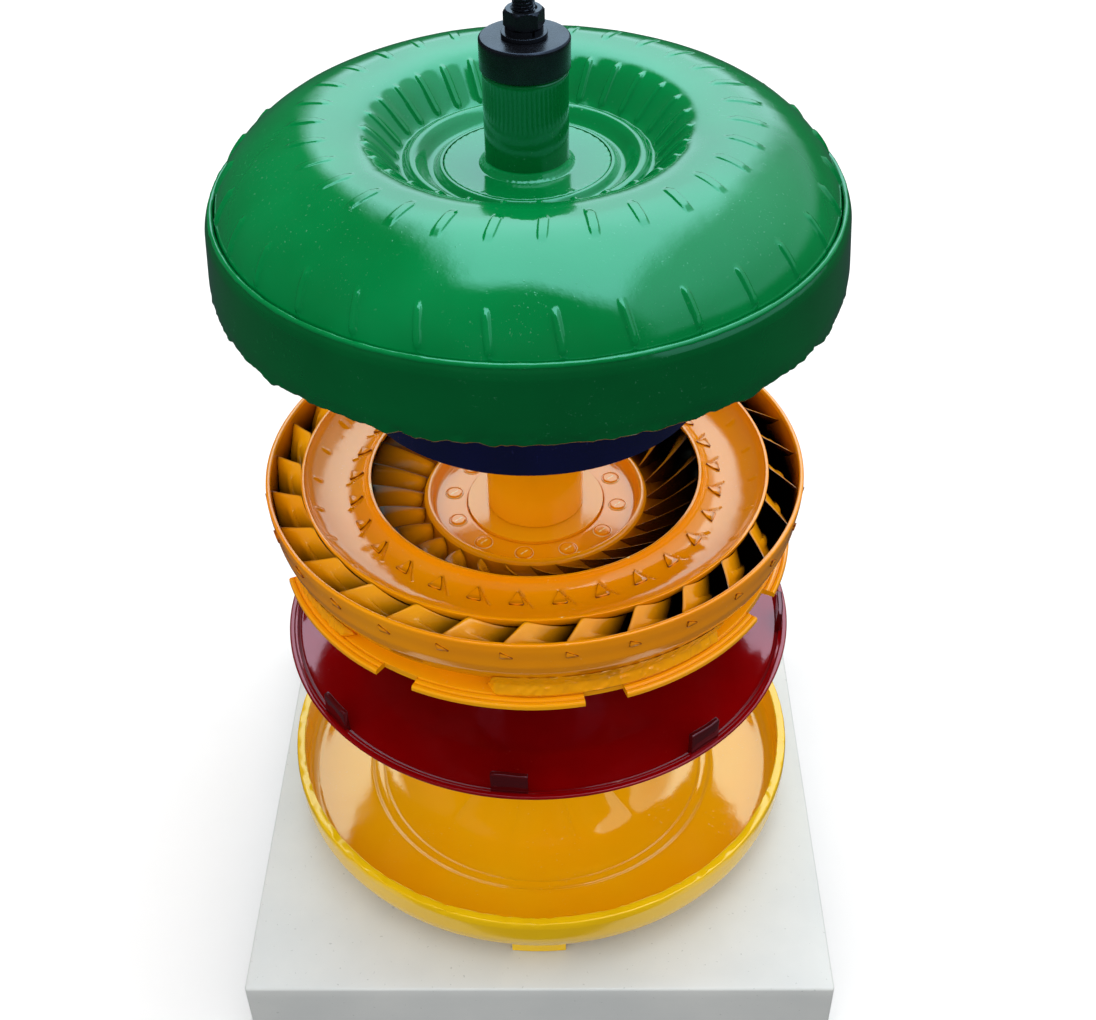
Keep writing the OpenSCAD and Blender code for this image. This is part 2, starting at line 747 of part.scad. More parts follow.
module pump_bearing_needles() {
    color(steel) bearing_needles(pump_seat_z, inner_brg[0], inner_brg[1]);
}

module pump_bearing_upper_race() {
    color(steel) bearing_upper_race(pump_seat_z, inner_brg[0], inner_brg[1]);
}

plinth_case();
plinth_base_board();
rubber_feet();
foot_screws();
threaded_rod();
rod_base_washer();
rod_base_nut();
cover_spacer();
piston_spacer();
turbine_spacer();
stator_spacer_tube();
pump_spacer();
clamp_collar();
flat_washer();
spring_washer();
top_nut();
front_cover();
crank_pilot();
pilot_bush();
mounting_lugs();
piston_support_bush();
piston_seal_ring();
lockup_piston();
friction_lining();
turbine_shell();
turbine_blades();
turbine_core_ring();
turbine_hub();
hub_rivets();
turbine_bush();
drive_ring();
drive_ring_welds();
turbine_bearing_lower_race();
turbine_bearing_cage();
turbine_bearing_needles();
turbine_bearing_upper_race();
stator_wheel();
clutch_inner_race();
clutch_outer_race();
clutch_rollers();
clutch_springs();
clutch_lower_plate();
clutch_upper_plate();
clutch_snap_ring();
stator_bearing_lower_race();
stator_bearing_cage();
stator_bearing_needles();
stator_bearing_upper_race();
pump_shell();
pump_skirt();
pump_hub();
pump_bush();
pump_blades();
pump_core_ring();
pump_bearing_lower_race();
pump_bearing_cage();
pump_bearing_needles();
pump_bearing_upper_race();
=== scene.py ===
# Torque converter taken apart on a rod: the wheels, their finish, the plinth, light and camera.
import math

import bmesh
import bpy
import numpy as np
from mathutils import Matrix, Vector


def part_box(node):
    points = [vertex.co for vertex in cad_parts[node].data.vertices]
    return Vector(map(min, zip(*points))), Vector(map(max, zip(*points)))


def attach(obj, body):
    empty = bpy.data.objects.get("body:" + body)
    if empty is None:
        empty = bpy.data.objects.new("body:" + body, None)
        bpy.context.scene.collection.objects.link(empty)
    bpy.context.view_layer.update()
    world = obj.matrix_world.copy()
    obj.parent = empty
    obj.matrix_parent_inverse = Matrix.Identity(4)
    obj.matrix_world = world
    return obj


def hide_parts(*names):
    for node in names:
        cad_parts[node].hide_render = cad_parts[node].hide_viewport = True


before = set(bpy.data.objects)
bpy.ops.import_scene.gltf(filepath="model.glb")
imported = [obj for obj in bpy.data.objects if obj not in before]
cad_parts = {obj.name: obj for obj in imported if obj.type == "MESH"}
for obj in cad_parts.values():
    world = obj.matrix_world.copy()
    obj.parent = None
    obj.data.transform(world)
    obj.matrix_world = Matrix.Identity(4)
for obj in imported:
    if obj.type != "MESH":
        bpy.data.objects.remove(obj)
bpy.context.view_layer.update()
MM = 0.001
TAU = 2 * math.pi


def top(node):
    """Highest point of a CAD node, in mm."""
    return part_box(node)[1].z / MM


def foot(node):
    """Lowest point of a CAD node, in mm."""
    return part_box(node)[0].z / MM


Z_PLINTH = top("plinth_case")
Z_COVER = top("front_cover")
SEAL_BELOW_RIM = 3.9
Z_PISTON = foot("piston_seal_ring") + SEAL_BELOW_RIM
Z_TURBINE = top("turbine_shell")
BEAD_ROOM = 0.2
Z_PUMP = top("pump_skirt") + BEAD_ROOM
Z_COLLAR = foot("clamp_collar")
PUMP_BLADES = 31
TURBINE_BLADES = 29
TAB_COUNT = 8


# ---- numbers ----
def smooth(t):
    """Eased step from 0 to 1."""
    t = np.clip(t, 0, 1)
    return t * t * (3 - 2 * t)


def noise(x, y, z, seed=0):
    """Smooth random values from -1 to 1 on a unit lattice, the same on every run."""
    cells = [np.floor(v).astype(np.int64) for v in (x, y, z)]
    part = [smooth(v - c) for v, c in zip((x, y, z), cells)]
    total = 0.0
    for corner in range(8):
        h = np.int64(seed * 7919 + 17)
        weight = 1.0
        for axis, prime in enumerate((73856093, 19349663, 83492791)):
            bit = (corner >> axis) & 1
            h = h ^ ((cells[axis] + bit) * prime)
            weight = weight * (part[axis] if bit else 1 - part[axis])
        h = ((h ^ (h >> 13)) * 1274126177) & 0x7FFFFFFF
        h = h ^ (h >> 15)
        total = total + weight * (h & 0xFFFF) / 32767.5
    return total - 1


def lumps(r, z, a, size, seed=0):
    """Noise over a surface given in cylinder coordinates, with features of a size in mm."""
    return noise(r * np.cos(a) / size, r * np.sin(a) / size, z / size, seed)


def wrap(angle, count, first):
    """Angle from the nearest of a row of equally spaced features, in radians."""
    pitch = TAU / count
    return (angle - math.radians(first) + pitch / 2) % pitch - pitch / 2


def capsule(x, t, length, half, wall):
    """Height from 0 to 1 of a round-ended rib: x across it, t along it."""
    past = np.maximum(0, np.maximum(-t, t - length))
    return smooth((half - np.hypot(x, past)) / wall + 0.5)


# ---- profiles ----
def softened(points, radius):
    """Closed profile with each corner rounded."""
    p = np.array(points, float)
    out = []
    for i in range(len(p)):
        before, after = p[i - 1] - p[i], p[(i + 1) % len(p)] - p[i]
        lb, la = np.linalg.norm(before), np.linalg.norm(after)
        if lb < 1e-6 or la < 1e-6:
            continue
        if before @ after / (lb * la) < -0.99:
            out.append(p[i])
            continue
        cut = min(radius, 0.42 * lb, 0.42 * la)
        start, end = p[i] + before / lb * cut, p[i] + after / la * cut
        for k in range(4):
            t = k / 3
            out.append((1 - t) ** 2 * start + 2 * t * (1 - t) * p[i] + t * t * end)
    return np.array(out)


def spaced(points, step, closed=False):
    """Profile with its long edges divided so that none is longer than step."""
    p = np.array(points, float)
    out = []
    for i in range(len(p) if closed else len(p) - 1):
        a, b = p[i], p[(i + 1) % len(p)]
        parts = max(1, int(math.ceil(np.linalg.norm(b - a) / step)))
        out += [a + (b - a) * k / parts for k in range(parts)]
    if not closed:
        out.append(p[-1])
    return np.array(out)


def curve(points, parts):
    """Smooth line through points, with each span divided into parts."""
    p = np.array(points, float)
    out = []
    for i in range(len(p) - 1):
        a, b, c, d = p[max(i - 1, 0)], p[i], p[i + 1], p[min(i + 2, len(p) - 1)]
        for t in np.arange(parts) / parts:
            out.append(b + 0.5 * t * (c - a + t * (2 * a - 5 * b + 4 * c - d
                                                   + t * (3 * b - a - 3 * c + d))))
    return np.array(out + [p[-1]])


def beside(points, d):
    """Profile moved sideways by d, to the left of its direction of travel."""
    p = np.array(points, float)
    t = np.array([p[min(i + 1, len(p) - 1)] - p[max(i - 1, 0)] for i in range(len(p))])
    t /= np.linalg.norm(t, axis=1)[:, None]
    return p + d * np.stack([-t[:, 1], t[:, 0]], 1)


def along(points, share):
    """Points at shares of the way along a profile's list."""
    p = np.array(points, float)
    q = np.clip(np.asarray(share, float), 0, 1) * (len(p) - 1)
    i = np.minimum(q.astype(int), len(p) - 2)
    return p[i] + (p[i + 1] - p[i]) * (q - i)[..., None]


# ---- meshes ----
def polar(r, a, z):
    """Points from distance, angle and height."""
    x = r * np.cos(a)
    return np.stack([x, r * np.sin(a), z + 0 * x], -1)


class Form:
    """Vertices in mm and faces, gathered before they become one piece."""

    def __init__(self):
        self.verts, self.quads, self.marks, self.count = [], [], [], 0

    def add(self, verts, quads, mark=0):
        """More points and faces, with a material number for all or for each."""
        verts = np.asarray(verts, float).reshape(-1, 3)
        self.verts.append(verts)
        self.quads.append(np.asarray(quads) + self.count)
        self.marks.append(np.full(len(quads), mark) if np.isscalar(mark) else mark)
        self.count += len(verts)
        return self

    def piece(self, name, body, materials, stands_for, slot, weld=False, sharp=40):
        """The finished piece, riding on a body and standing for its CAD nodes."""
        mesh = bpy.data.meshes.new(name)
        verts = np.concatenate(self.verts) * MM
        quads = np.concatenate(self.quads)
        mesh.from_pydata(verts.tolist(), [], quads.tolist())
        mesh.polygons.foreach_set("material_index", np.concatenate(self.marks).astype(np.int32))
        obj = bpy.data.objects.new(name, mesh)
        bpy.context.scene.collection.objects.link(obj)
        for m in materials:
            mesh.materials.append(m)
        if weld:
            bm = bmesh.new()
            bm.from_mesh(mesh)
            bmesh.ops.remove_doubles(bm, verts=bm.verts, dist=1e-6)
            bmesh.ops.recalc_face_normals(bm, faces=bm.faces)
            bm.to_mesh(mesh)
            bm.free()
        mesh.shade_smooth()
        mesh.set_sharp_from_angle(angle=math.radians(sharp))
        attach(obj, body)
        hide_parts(*stands_for)


def grid(columns, rows, close_columns=True, close_rows=True):
    """Quads of a grid of points stored column by column."""
    i = np.arange(columns if close_columns else columns - 1)
    j = np.arange(rows if close_rows else rows - 1)
    i, j = [v.ravel() for v in np.meshgrid(i, j, indexing="ij")]
    i2, j2 = (i + 1) % columns, (j + 1) % rows
    return np.stack([i * rows + j, i2 * rows + j, i2 * rows + j2, i * rows + j2], 1)


def even(count):
    """Equally spaced angles for a whole turn."""
    return np.arange(count) * TAU / count


def dense(count, first, offsets):
    """Angles for a whole turn, closer together around each of a row of features."""
    pitch = TAU / count
    near = np.array(offsets) * pitch / 2
    all_near = np.concatenate([-near[::-1], [0], near, [pitch / 2]])
    a = math.radians(first) + (np.arange(count)[:, None] * pitch + all_near[None]).ravel()
    return np.sort(a)


def turned(form, profile, angles, z0, bump=None, push=None, mark=None, closed=True, twist=None):
    """A closed profile in (r, z) turned about the rod. bump moves points along the
    normal, push moves them by (dr, dz); both take (r, z, angle) from the station z0.
    twist turns each point by an angle that depends on its radius."""
    p = np.array(profile, float)
    nxt = np.roll(p, -1, 0)
    if np.sum(p[:, 0] * nxt[:, 1] - nxt[:, 0] * p[:, 1]) < 0:
        p = p[::-1]
    t = np.roll(p, -1, 0) - np.roll(p, 1, 0)
    t /= np.maximum(np.linalg.norm(t, axis=1), 1e-9)[:, None]
    a = np.asarray(angles)[:, None]
    r, z = p[:, 0][None] + 0 * a, p[:, 1][None] + 0 * a
    a = a + 0 * r
    dr = dz = 0
    if bump is not None:
        h = bump(r, z, a)
        dr, dz = h * t[:, 1][None], -h * t[:, 0][None]
    if push is not None:
        pr, pz = push(r, z, a)
        dr, dz = dr + pr, dz + pz
    r2, z2 = r + dr, z + dz
    if twist is not None:
        a = a + twist(r)
    verts = polar(r2, a, z2 + z0)
    quads = grid(len(angles), len(p), close_columns=closed)
    marks = 0
    if mark is not None:
        marks = mark(p, t)[quads[:, 0] % len(p)].astype(int)
    form.add(verts, quads, marks)
    return form


def lofted(form, rings, mark=0):
    """Rings of points (m, n, 3) joined into a closed skin, with both ends capped by strips."""
    m, n, _ = rings.shape
    base = np.arange(n // 2 - 1)
    caps = []
    for row, flip in ((0, False), (m - 1, True)):
        a, b = row * n + base, row * n + base + 1
        c, d = row * n + n - 2 - base, row * n + n - 1 - base
        q = np.stack([a, b, c, d], 1)
        caps.append(q[:, ::-1] if flip else q)
    quads = np.concatenate([grid(m, n, close_columns=False)] + caps)
    form.add(rings, quads, mark)
    return form


PLATE_BEVEL = 0.3


def plate(form, corners, centre_angle, surface, lift):
    """A thin plate lying on a surface: corners in mm across and along, surface gives the point
    (r, z) and the outward normal for a place along it."""
    c = np.array(corners, float)
    middle = c.mean(0)
    outline = []
    for i in range(len(c)):
        a, b = c[i], c[(i + 1) % len(c)]
        outline += [a + (b - a) * t for t in (0.08, 0.3, 0.5, 0.7, 0.92)]
    if len(outline) % 2:
        outline.append((outline[-1] + outline[0]) / 2)
    outline = np.array(outline)
    rings = []
    for height, shrink in ((-0.7, 0), (lift - PLATE_BEVEL * 0.6, 0), (lift, PLATE_BEVEL)):
        inward = middle - outline
        q = outline + inward / np.linalg.norm(inward, axis=1)[:, None] * shrink
        spot, normal = surface(q[:, 1])
        spot = spot + normal * height
        a = centre_angle + q[:, 0] / spot[:, 0]
        rings.append(polar(spot[:, 0], a, spot[:, 1]))
    return lofted(form, np.array(rings))


# ---- materials ----
def add(tree, kind, inputs=None, **settings):
    """A node with its settings, and inputs given as values or as other nodes' outputs."""
    n = tree.nodes.new(kind)
    for k, v in settings.items():
        setattr(n, k, v)
    for k, v in (inputs or {}).items():
        if isinstance(v, bpy.types.NodeSocket):
            tree.links.new(v, n.inputs[k])
        else:
            n.inputs[k].default_value = v
    return n


def rgb(r, g, b):
    """Linear colour from a screen colour of 0 to 255."""
    def linear(c):
        c /= 255
        return c / 12.92 if c <= 0.04045 else ((c + 0.055) / 1.055) ** 2.4
    return (linear(r), linear(g), linear(b), 1)


def start(name):
    """A new material with its tree, its shader and the object's own coordinates."""
    m = bpy.data.materials.new(name)
    m.use_nodes = True
    tree = m.node_tree
    shader = tree.nodes["Principled BSDF"]
    place = add(tree, "ShaderNodeTexCoord").outputs["Object"]
    return m, tree, shader, place


def ramp(tree, value, low, high, to_low=0.0, to_high=1.0, ease="LINEAR"):
    """Value stretched from the range low..high to another range, and held inside it."""
    return add(tree, "ShaderNodeMapRange", {
        "Value": value, "From Min": low, "From Max": high, "To Min": to_low, "To Max": to_high},
        interpolation_type=ease).outputs[0]


def cloud(tree, place, scale, detail=3, low=0.35, high=0.65):
    """Noise with features of 1/scale metres, stretched to run from 0 to 1."""
    n = add(tree, "ShaderNodeTexNoise", {"Vector": place, "Scale": scale, "Detail": detail,
                                         "Roughness": 0.55})
    return ramp(tree, n.outputs[0], low, high)


def from_axis(tree, place):
    """Distance from the rod's axis and height, both in metres."""
    flat = add(tree, "ShaderNodeVectorMath", {0: place, 1: (1, 1, 0)}, operation="MULTIPLY")
    reach = add(tree, "ShaderNodeVectorMath", {0: flat.outputs[0]}, operation="LENGTH")
    return reach.outputs["Value"], add(tree, "ShaderNodeSeparateXYZ", {0: place}).outputs[2]


def blend(tree, share, a, b):
    """Colour a, with a share of colour b over it."""
    return add(tree, "ShaderNodeMix", {0: share, 6: a, 7: b}, data_type="RGBA",
               clamp_factor=True).outputs[2]


def math_node(tree, kind, a, b):
    """One step of arithmetic on numbers or outputs."""
    return add(tree, "ShaderNodeMath", {0: a, 1: b}, operation=kind).outputs[0]


def times(tree, *values):
    """Product of outputs and numbers."""
    out = values[0]
    for v in values[1:]:
        out = math_node(tree, "MULTIPLY", out, v)
    return out


def plus(tree, a, b):
    """Sum of two outputs or numbers."""
    return math_node(tree, "ADD", a, b)


def less(tree, a, b):
    """What is left of a once b is taken away."""
    return math_node(tree, "SUBTRACT", a, b)


def bumped(tree, shader, layers):
    """Bump from (height output, depth in mm) layers, one after another."""
    normal = None
    for height, depth in layers:
        n = add(tree, "ShaderNodeBump", {"Height": height, "Distance": depth * MM})
        if normal is not None:
            tree.links.new(normal, n.inputs["Normal"])
        normal = n.outputs[0]
    tree.links.new(normal, shader.inputs["Normal"])
    tree.links.new(normal, shader.inputs["Coat Normal"])


# Radii in metres over which the painted depth shade drops to its share near the rod.
PAINTED_DEPTH_SHADE_FROM, PAINTED_DEPTH_SHADE_TO = 0.064, 0.086
BLADE_EDGE = 0.138
# The last is the pointiness from which edges take the edge colour: rubbed paint, and also a
# painted highlight.
COAT_SHARE, GLOSS_SHARE, EDGE_WEAR_AND_HIGHLIGHT_AT = 0.15, 0.4, 0.585


def enamel(name, base, deep, dust, rough=0.2, coat=1.0, peel=0.02, wave=0.25, edge_wear_and_highlight=None,
           painted_depth_shade=None, gloss=(1, 1, 1), strength=0.9, corner_dirt_and_shade=None, corner_dirt_and_shade_at=0.45):
    """Gloss enamel sprayed over steel: cloudy colour, dust nibs, orange peel, slow waves.
    The edge colour lightens convex edges: paint rubbed thin, and also a painted highlight. The
    corner colour darkens inner corners: painted shade, with some dirt. The depth settings give the
    heights in mm over which painted shade darkens the paint, how much sooner it does so per metre
    towards the rod, the share that is left near the rod, and the shade's colour. gloss tints the
    reflections."""
    m, tree, shader, place = start(name)
    colour = blend(tree, cloud(tree, place, 11, 4, low=0.3, high=0.7), base, deep)
    nibs = cloud(tree, place, 620, 2, low=0.66, high=0.74)
    dusty = times(tree, nibs, cloud(tree, place, 26, 3, low=0.45, high=0.7))
    colour = blend(tree, times(tree, dusty, 0.35), colour, dust)
    edge = add(tree, "ShaderNodeNewGeometry").outputs["Pointiness"]
    # Inner corners darkened: painted shade, with some dirt.
    if corner_dirt_and_shade is not None:
        share = ramp(tree, edge, corner_dirt_and_shade_at, corner_dirt_and_shade_at - 0.05)
        colour = blend(tree, share, colour, corner_dirt_and_shade)
    # Convex edges lightened: rubbed paint, and also a painted highlight.
    if edge_wear_and_highlight is not None:
        broken = times(tree, cloud(tree, place, 160, 3, low=0.2, high=0.8), 0.06)
        share = ramp(tree, plus(tree, edge, broken), EDGE_WEAR_AND_HIGHLIGHT_AT, EDGE_WEAR_AND_HIGHLIGHT_AT + 0.03)
        colour = blend(tree, share, colour, edge_wear_and_highlight)
    # Painted shade: the colour goes to near-black with depth, sooner towards the rod, less so
    # right by it.
    if painted_depth_shade is not None:
        start_z, end_z, lean, near, painted_depth_shade_colour = painted_depth_shade
        reach, height = from_axis(tree, place)
        inward = times(tree, less(tree, BLADE_EDGE, reach), -lean)
        ragged = plus(tree, plus(tree, height, inward),
                      times(tree, cloud(tree, place, 90, 4, low=0, high=1), 4 * MM))
        share = ramp(tree, ragged, start_z * MM, end_z * MM)
        away = ramp(tree, reach, PAINTED_DEPTH_SHADE_FROM, PAINTED_DEPTH_SHADE_TO, near)
        colour = blend(tree, times(tree, share, away), colour, painted_depth_shade_colour)
    tree.links.new(colour, shader.inputs["Base Color"])
    smear = cloud(tree, place, 42, 4, low=0.3, high=0.75)
    gloss_rough = GLOSS_SHARE * rough
    tree.links.new(ramp(tree, smear, 0, 1, gloss_rough, gloss_rough + 0.07),
                   shader.inputs["Roughness"])
    shader.inputs["Specular IOR Level"].default_value = strength
    shader.inputs["Specular Tint"].default_value = (*gloss, 1)
    shader.inputs["Coat Weight"].default_value = COAT_SHARE * coat
    tree.links.new(ramp(tree, smear, 0, 1, 0.02, 0.09), shader.inputs["Coat Roughness"])
    bumped(tree, shader, [(cloud(tree, place, 30, 2, low=0, high=1), wave),
                          (cloud(tree, place, 330, 2, low=0, high=1), peel),
                          (dusty, 0.05)])
    return m


def metal(name, base, deep, rough, metallic=1.0, turn=0.0):
    """Bare or blacked steel: cloudy tone, turning marks and fine grit."""
    m, tree, shader, place = start(name)
    tone = cloud(tree, place, 70, 5, low=0.3, high=0.7)
    colour = blend(tree, times(tree, tone, 0.5), base, deep)
    tree.links.new(colour, shader.inputs["Base Color"])
    shader.inputs["Metallic"].default_value = metallic
    fine = cloud(tree, place, 900, 3, low=0.2, high=0.8)
    tree.links.new(ramp(tree, fine, 0, 1, rough, rough + 0.16), shader.inputs["Roughness"])
    layers = [(fine, 0.01)]
    if turn:
        reach, height = from_axis(tree, place)
        spot = add(tree, "ShaderNodeCombineXYZ", {0: reach, 1: height})
        layers.append((cloud(tree, spot.outputs[0], 2600, 2, low=0.2, high=0.8), turn))
    bumped(tree, shader, layers)
    return m


def plain(name, base, deep, rough, scale, grit, specks=None):
    """Matt or satin surface with mottled colour and a fine grain."""
    m, tree, shader, place = start(name)
    colour = blend(tree, cloud(tree, place, scale, 5), base, deep)
    if specks is not None:
        dots = cloud(tree, place, 420, 2, low=0.69, high=0.73)
        colour = blend(tree, times(tree, dots, 0.8), colour, specks)
    tree.links.new(colour, shader.inputs["Base Color"])
    fine = cloud(tree, place, 1100, 3, low=0.2, high=0.8)
    tree.links.new(ramp(tree, fine, 0, 1, rough, rough + 0.12), shader.inputs["Roughness"])
    bumped(tree, shader, [(fine, grit)])
    return m


MINT, WARM, BUTTER, PINK = (0.42, 1, 0.84), (1, 0.9, 0.66), (1, 0.93, 0.55), (1, 0.5, 0.56)
# The brown that darkens inner corners of the orange paints (painted shade, with some dirt), and
# the near-black of the painted shade deep in the turbine's channels.
CORNER_DIRT_AND_SHADE_BROWN, DEPTH_SHADE_BLACK = rgb(128, 56, 4), rgb(12, 4, 2)
# Green: its corner colour is painted shade, with some dirt.
GREEN = enamel("green_enamel_paint", rgb(0, 132, 66), rgb(0, 112, 50), rgb(120, 190, 160),
               wave=0.3, peel=0.035, gloss=MINT, corner_dirt_and_shade=rgb(0, 60, 26))
# A darker copy of the green: painted shade on the skirt, the neck and one face of each pump blade.
GREEN_SHADED = enamel("green_enamel_painted_shade", rgb(0, 92, 40), rgb(0, 76, 32), rgb(90, 160, 130),
                    wave=0.35, gloss=MINT)
# Orange: its edge colour is rubbed paint and also a painted highlight; its corner colour is
# painted shade, with some dirt.
ORANGE = enamel("orange_enamel_paint", rgb(255, 164, 2), rgb(252, 148, 0), rgb(255, 214, 140),
                rough=0.22, wave=0.3, peel=0.035, edge_wear_and_highlight=rgb(255, 222, 140),
                gloss=WARM, corner_dirt_and_shade=CORNER_DIRT_AND_SHADE_BROWN)
# Even orange for the drive ring, its welds and the CAD parts: its corner colour is painted shade,
# with some dirt.
ORANGE_EVEN = enamel("orange_enamel_even", rgb(255, 176, 8), rgb(254, 160, 2), rgb(255, 214, 140),
                     rough=0.22, wave=0.2, gloss=WARM, corner_dirt_and_shade=CORNER_DIRT_AND_SHADE_BROWN)
# Blade faces: the corner colour is painted shade, and the depth colour is painted shade going
# near-black down into the channels, sooner towards the core.
BLADE = enamel("orange_enamel_blade", rgb(255, 176, 10), rgb(252, 158, 2), rgb(255, 214, 140),
               rough=0.3, coat=0.5, wave=0.2, gloss=WARM, strength=0.6,
               corner_dirt_and_shade=rgb(120, 58, 4), corner_dirt_and_shade_at=0.46,
               painted_depth_shade=(Z_TURBINE - 9, Z_TURBINE - 21, 0.5, 0.15, DEPTH_SHADE_BLACK))
# Channel side of the turbine bowl: a darker copy of the orange, with painted shade going
# near-black with depth.
CHANNEL = enamel("orange_enamel_channel_painted_shade", rgb(226, 134, 4), rgb(196, 104, 2), rgb(240, 190, 110),
                 rough=0.3, coat=0.3, gloss=WARM, strength=0.5,
                 painted_depth_shade=(Z_TURBINE - 1, Z_TURBINE - 16, 0, 0.1, DEPTH_SHADE_BLACK))
# The other face of each turbine blade: a darker copy of the orange, painted shade going near-black
# a little below the top edge.
SHADED = enamel("orange_enamel_painted_shade", rgb(150, 78, 8), rgb(96, 44, 6), rgb(180, 110, 40),
                rough=0.4, coat=0.1, gloss=WARM, strength=0.3,
                painted_depth_shade=(Z_TURBINE + 4, Z_TURBINE - 9, 0, 0.35, DEPTH_SHADE_BLACK))
YELLOW = enamel("yellow_enamel_paint", rgb(255, 184, 6), rgb(255, 172, 0), rgb(255, 228, 150),
                rough=0.18, wave=0.3, peel=0.03, gloss=BUTTER, strength=1.0)
LEMON = enamel("lemon_enamel_paint", rgb(244, 198, 14), rgb(232, 182, 6), rgb(250, 232, 140),
               rough=0.3, wave=0.2, peel=0.05, gloss=BUTTER)
# Red: its edge colour lightens edges pink: rubbed paint, and also a painted highlight.
RED = enamel("red_enamel_paint", rgb(142, 0, 4), rgb(112, 0, 2), rgb(170, 60, 50),
             rough=0.16, wave=0.12, edge_wear_and_highlight=rgb(180, 110, 100), gloss=PINK)
# The piston's tabs: a darker copy of the same red, painted shade.
RED_SHADED_TABS = enamel("tab_enamel_painted_shade", rgb(84, 10, 12), rgb(60, 4, 6), rgb(130, 50, 50),
                 rough=0.24, wave=0.1, gloss=PINK)
NAVY = enamel("navy_enamel_paint", rgb(6, 6, 66), rgb(2, 2, 36), rgb(90, 96, 170),
              rough=0.16, wave=0.12)
WHITE = plain("white_lacquer_satin", rgb(216, 218, 216), rgb(208, 211, 210), 0.34, 18, 0.012,
              specks=rgb(180, 184, 182))
BOARD = plain("pale_board", rgb(196, 190, 176), rgb(170, 162, 146), 0.6, 60, 0.05)
RUBBER = plain("foot_rubber", rgb(34, 34, 35), rgb(24, 24, 25), 0.62, 90, 0.06)
PAPER = plain("friction_paper", rgb(104, 84, 58), rgb(78, 60, 40), 0.72, 240, 0.08)
BLACK = metal("black_oxide_steel", rgb(54, 58, 68), rgb(20, 21, 26), 0.2, 0.9, turn=0.008)
ZINC = metal("zinc_plated_steel", rgb(190, 194, 198), rgb(150, 154, 160), 0.24, turn=0.006)
TURNED = metal("turned_steel_bar", rgb(168, 172, 176), rgb(120, 122, 124), 0.22, turn=0.012)
BEARING = metal("ground_bearing_steel", rgb(198, 200, 204), rgb(160, 162, 166), 0.12, turn=0.003)
SPRING = metal("spring_steel_leaf", rgb(120, 124, 134), rgb(70, 74, 86), 0.28)
BRONZE = metal("bearing_bronze", rgb(196, 152, 92), rgb(150, 104, 56), 0.26, turn=0.01)

FINISH = {"green_enamel": GREEN, "orange_enamel": ORANGE_EVEN, "yellow_enamel": YELLOW,
          "red_enamel": RED, "navy_enamel": NAVY, "white_lacquer": WHITE, "board": BOARD,
          "rubber": RUBBER, "friction_paper": PAPER, "black_oxide": BLACK, "zinc_steel": ZINC,
          "turned_steel": TURNED, "bearing_steel": BEARING, "spring_steel": SPRING,
          "bronze": BRONZE}

# ---- pump: shell, skirt, neck ----
CROWN_R, CROWN_Z, EDGE_R = 100, 33, 144
PUMP_FIRST, PUMP_BLADE_FIRST = -96.2, -95.8


def pump_dome(n):
    """The CAD shell's outside, from the welded edge over the crown to the recess. The
    shell's under side and the blades follow it."""
    a = np.linspace(90, 0, n) * math.pi / 180
    outer = np.stack([CROWN_R + (EDGE_R - 1 - CROWN_R) * np.sin(a) ** 1.2,
                      -2.9 + (CROWN_Z + 2.9) * np.maximum(np.cos(a), 0) ** 1.2], 1)
    a = np.linspace(0, 90, n)[1:] * math.pi / 180
    inner = np.stack([CROWN_R - 40 * np.sin(a) ** 1.07,
                      14.5 + (CROWN_Z - 14.5) * np.maximum(np.cos(a), 0) ** 1.07], 1)
    return np.concatenate([[[EDGE_R, -26], [EDGE_R, -4]], outer, inner])


def pump_ribs(r, z, a):
    """Three rows of pressed ribs, one of each per blade, and the shell's slow unevenness."""
    x = r * wrap(a, PUMP_BLADES, PUMP_FIRST)
    odd = 1 + 0.25 * noise(np.round(a * PUMP_BLADES / TAU) * 1.7, 0 * a, 0 * a, 5)
    middle = 0.62 * odd * capsule(x, r - 93.2, 10.2, 2.05, 0.8)
    outer = 1.15 * capsule(x, 15 - z, 11.5, 1.5, 1.3) * (r > 122)
    inner = capsule(x, r - 60.5, 11.5, 1.5, 1.1)
    slope = smooth((r - 57) / 4) * smooth((76 - r) / 6)
    swell = 0.4 * slope * np.cos(PUMP_BLADES * (a - math.radians(PUMP_FIRST)))
    waves = (0.2 * lumps(r, z, a, 38, 1) + 0.07 * lumps(r, z, a, 11, 2)
             + 0.03 * lumps(r, z, a, 5, 3))
    return middle + outer + inner + swell + waves * smooth((r - 60) / 15)


def pump_twist(r):
    """The middle ribs lean back as they run outwards, and the outer ones lean forwards."""
    return np.interp(r, [93, 105, 120, 130, 138, 141.5, 143],
                     [0, -1.7, -1.4, 0, 1.6, 2.8, 3.4]) / r


a_out = np.linspace(90, 0, 44) * math.pi / 180
face_out = np.stack([93 + 50 * np.sin(a_out) ** 1.18,
                     -2.9 + 37.7 * np.maximum(np.cos(a_out), 0) ** 1.18], 1)
face_in = curve([[93, 34.8], [88, 34.6], [83, 34.1], [78, 33], [74.5, 31.6], [71.8, 29.8],
                 [69.3, 27.4], [66.8, 24.6], [64.3, 21.6], [61.8, 18.6], [59.6, 16.2],
                 [57.6, 14.8]], 3)
dome = np.concatenate([[[EDGE_R, -26], [EDGE_R, -4]], face_out, face_in[1:]])
recess = curve([[57.6, 14.8], [56.2, 14.9], [55, 16.1], [53.4, 17], [51.4, 16.9], [49, 15.2],
                [46.6, 12.6], [44.4, 11.1], [42.2, 11.1], [40.8, 12.6], [39.6, 13.6],
                [38.35, 13.5]], 3)
under = beside(pump_dome(14), 3.5)[:-1]
inner_lip = [[38.35, 7.6], [44.5, 7.2], [49.5, 8.2], [54, 12.6], [58.5, 10.9]]
shell_profile = np.concatenate([dome, recess[1:], inner_lip, under[::-1]])


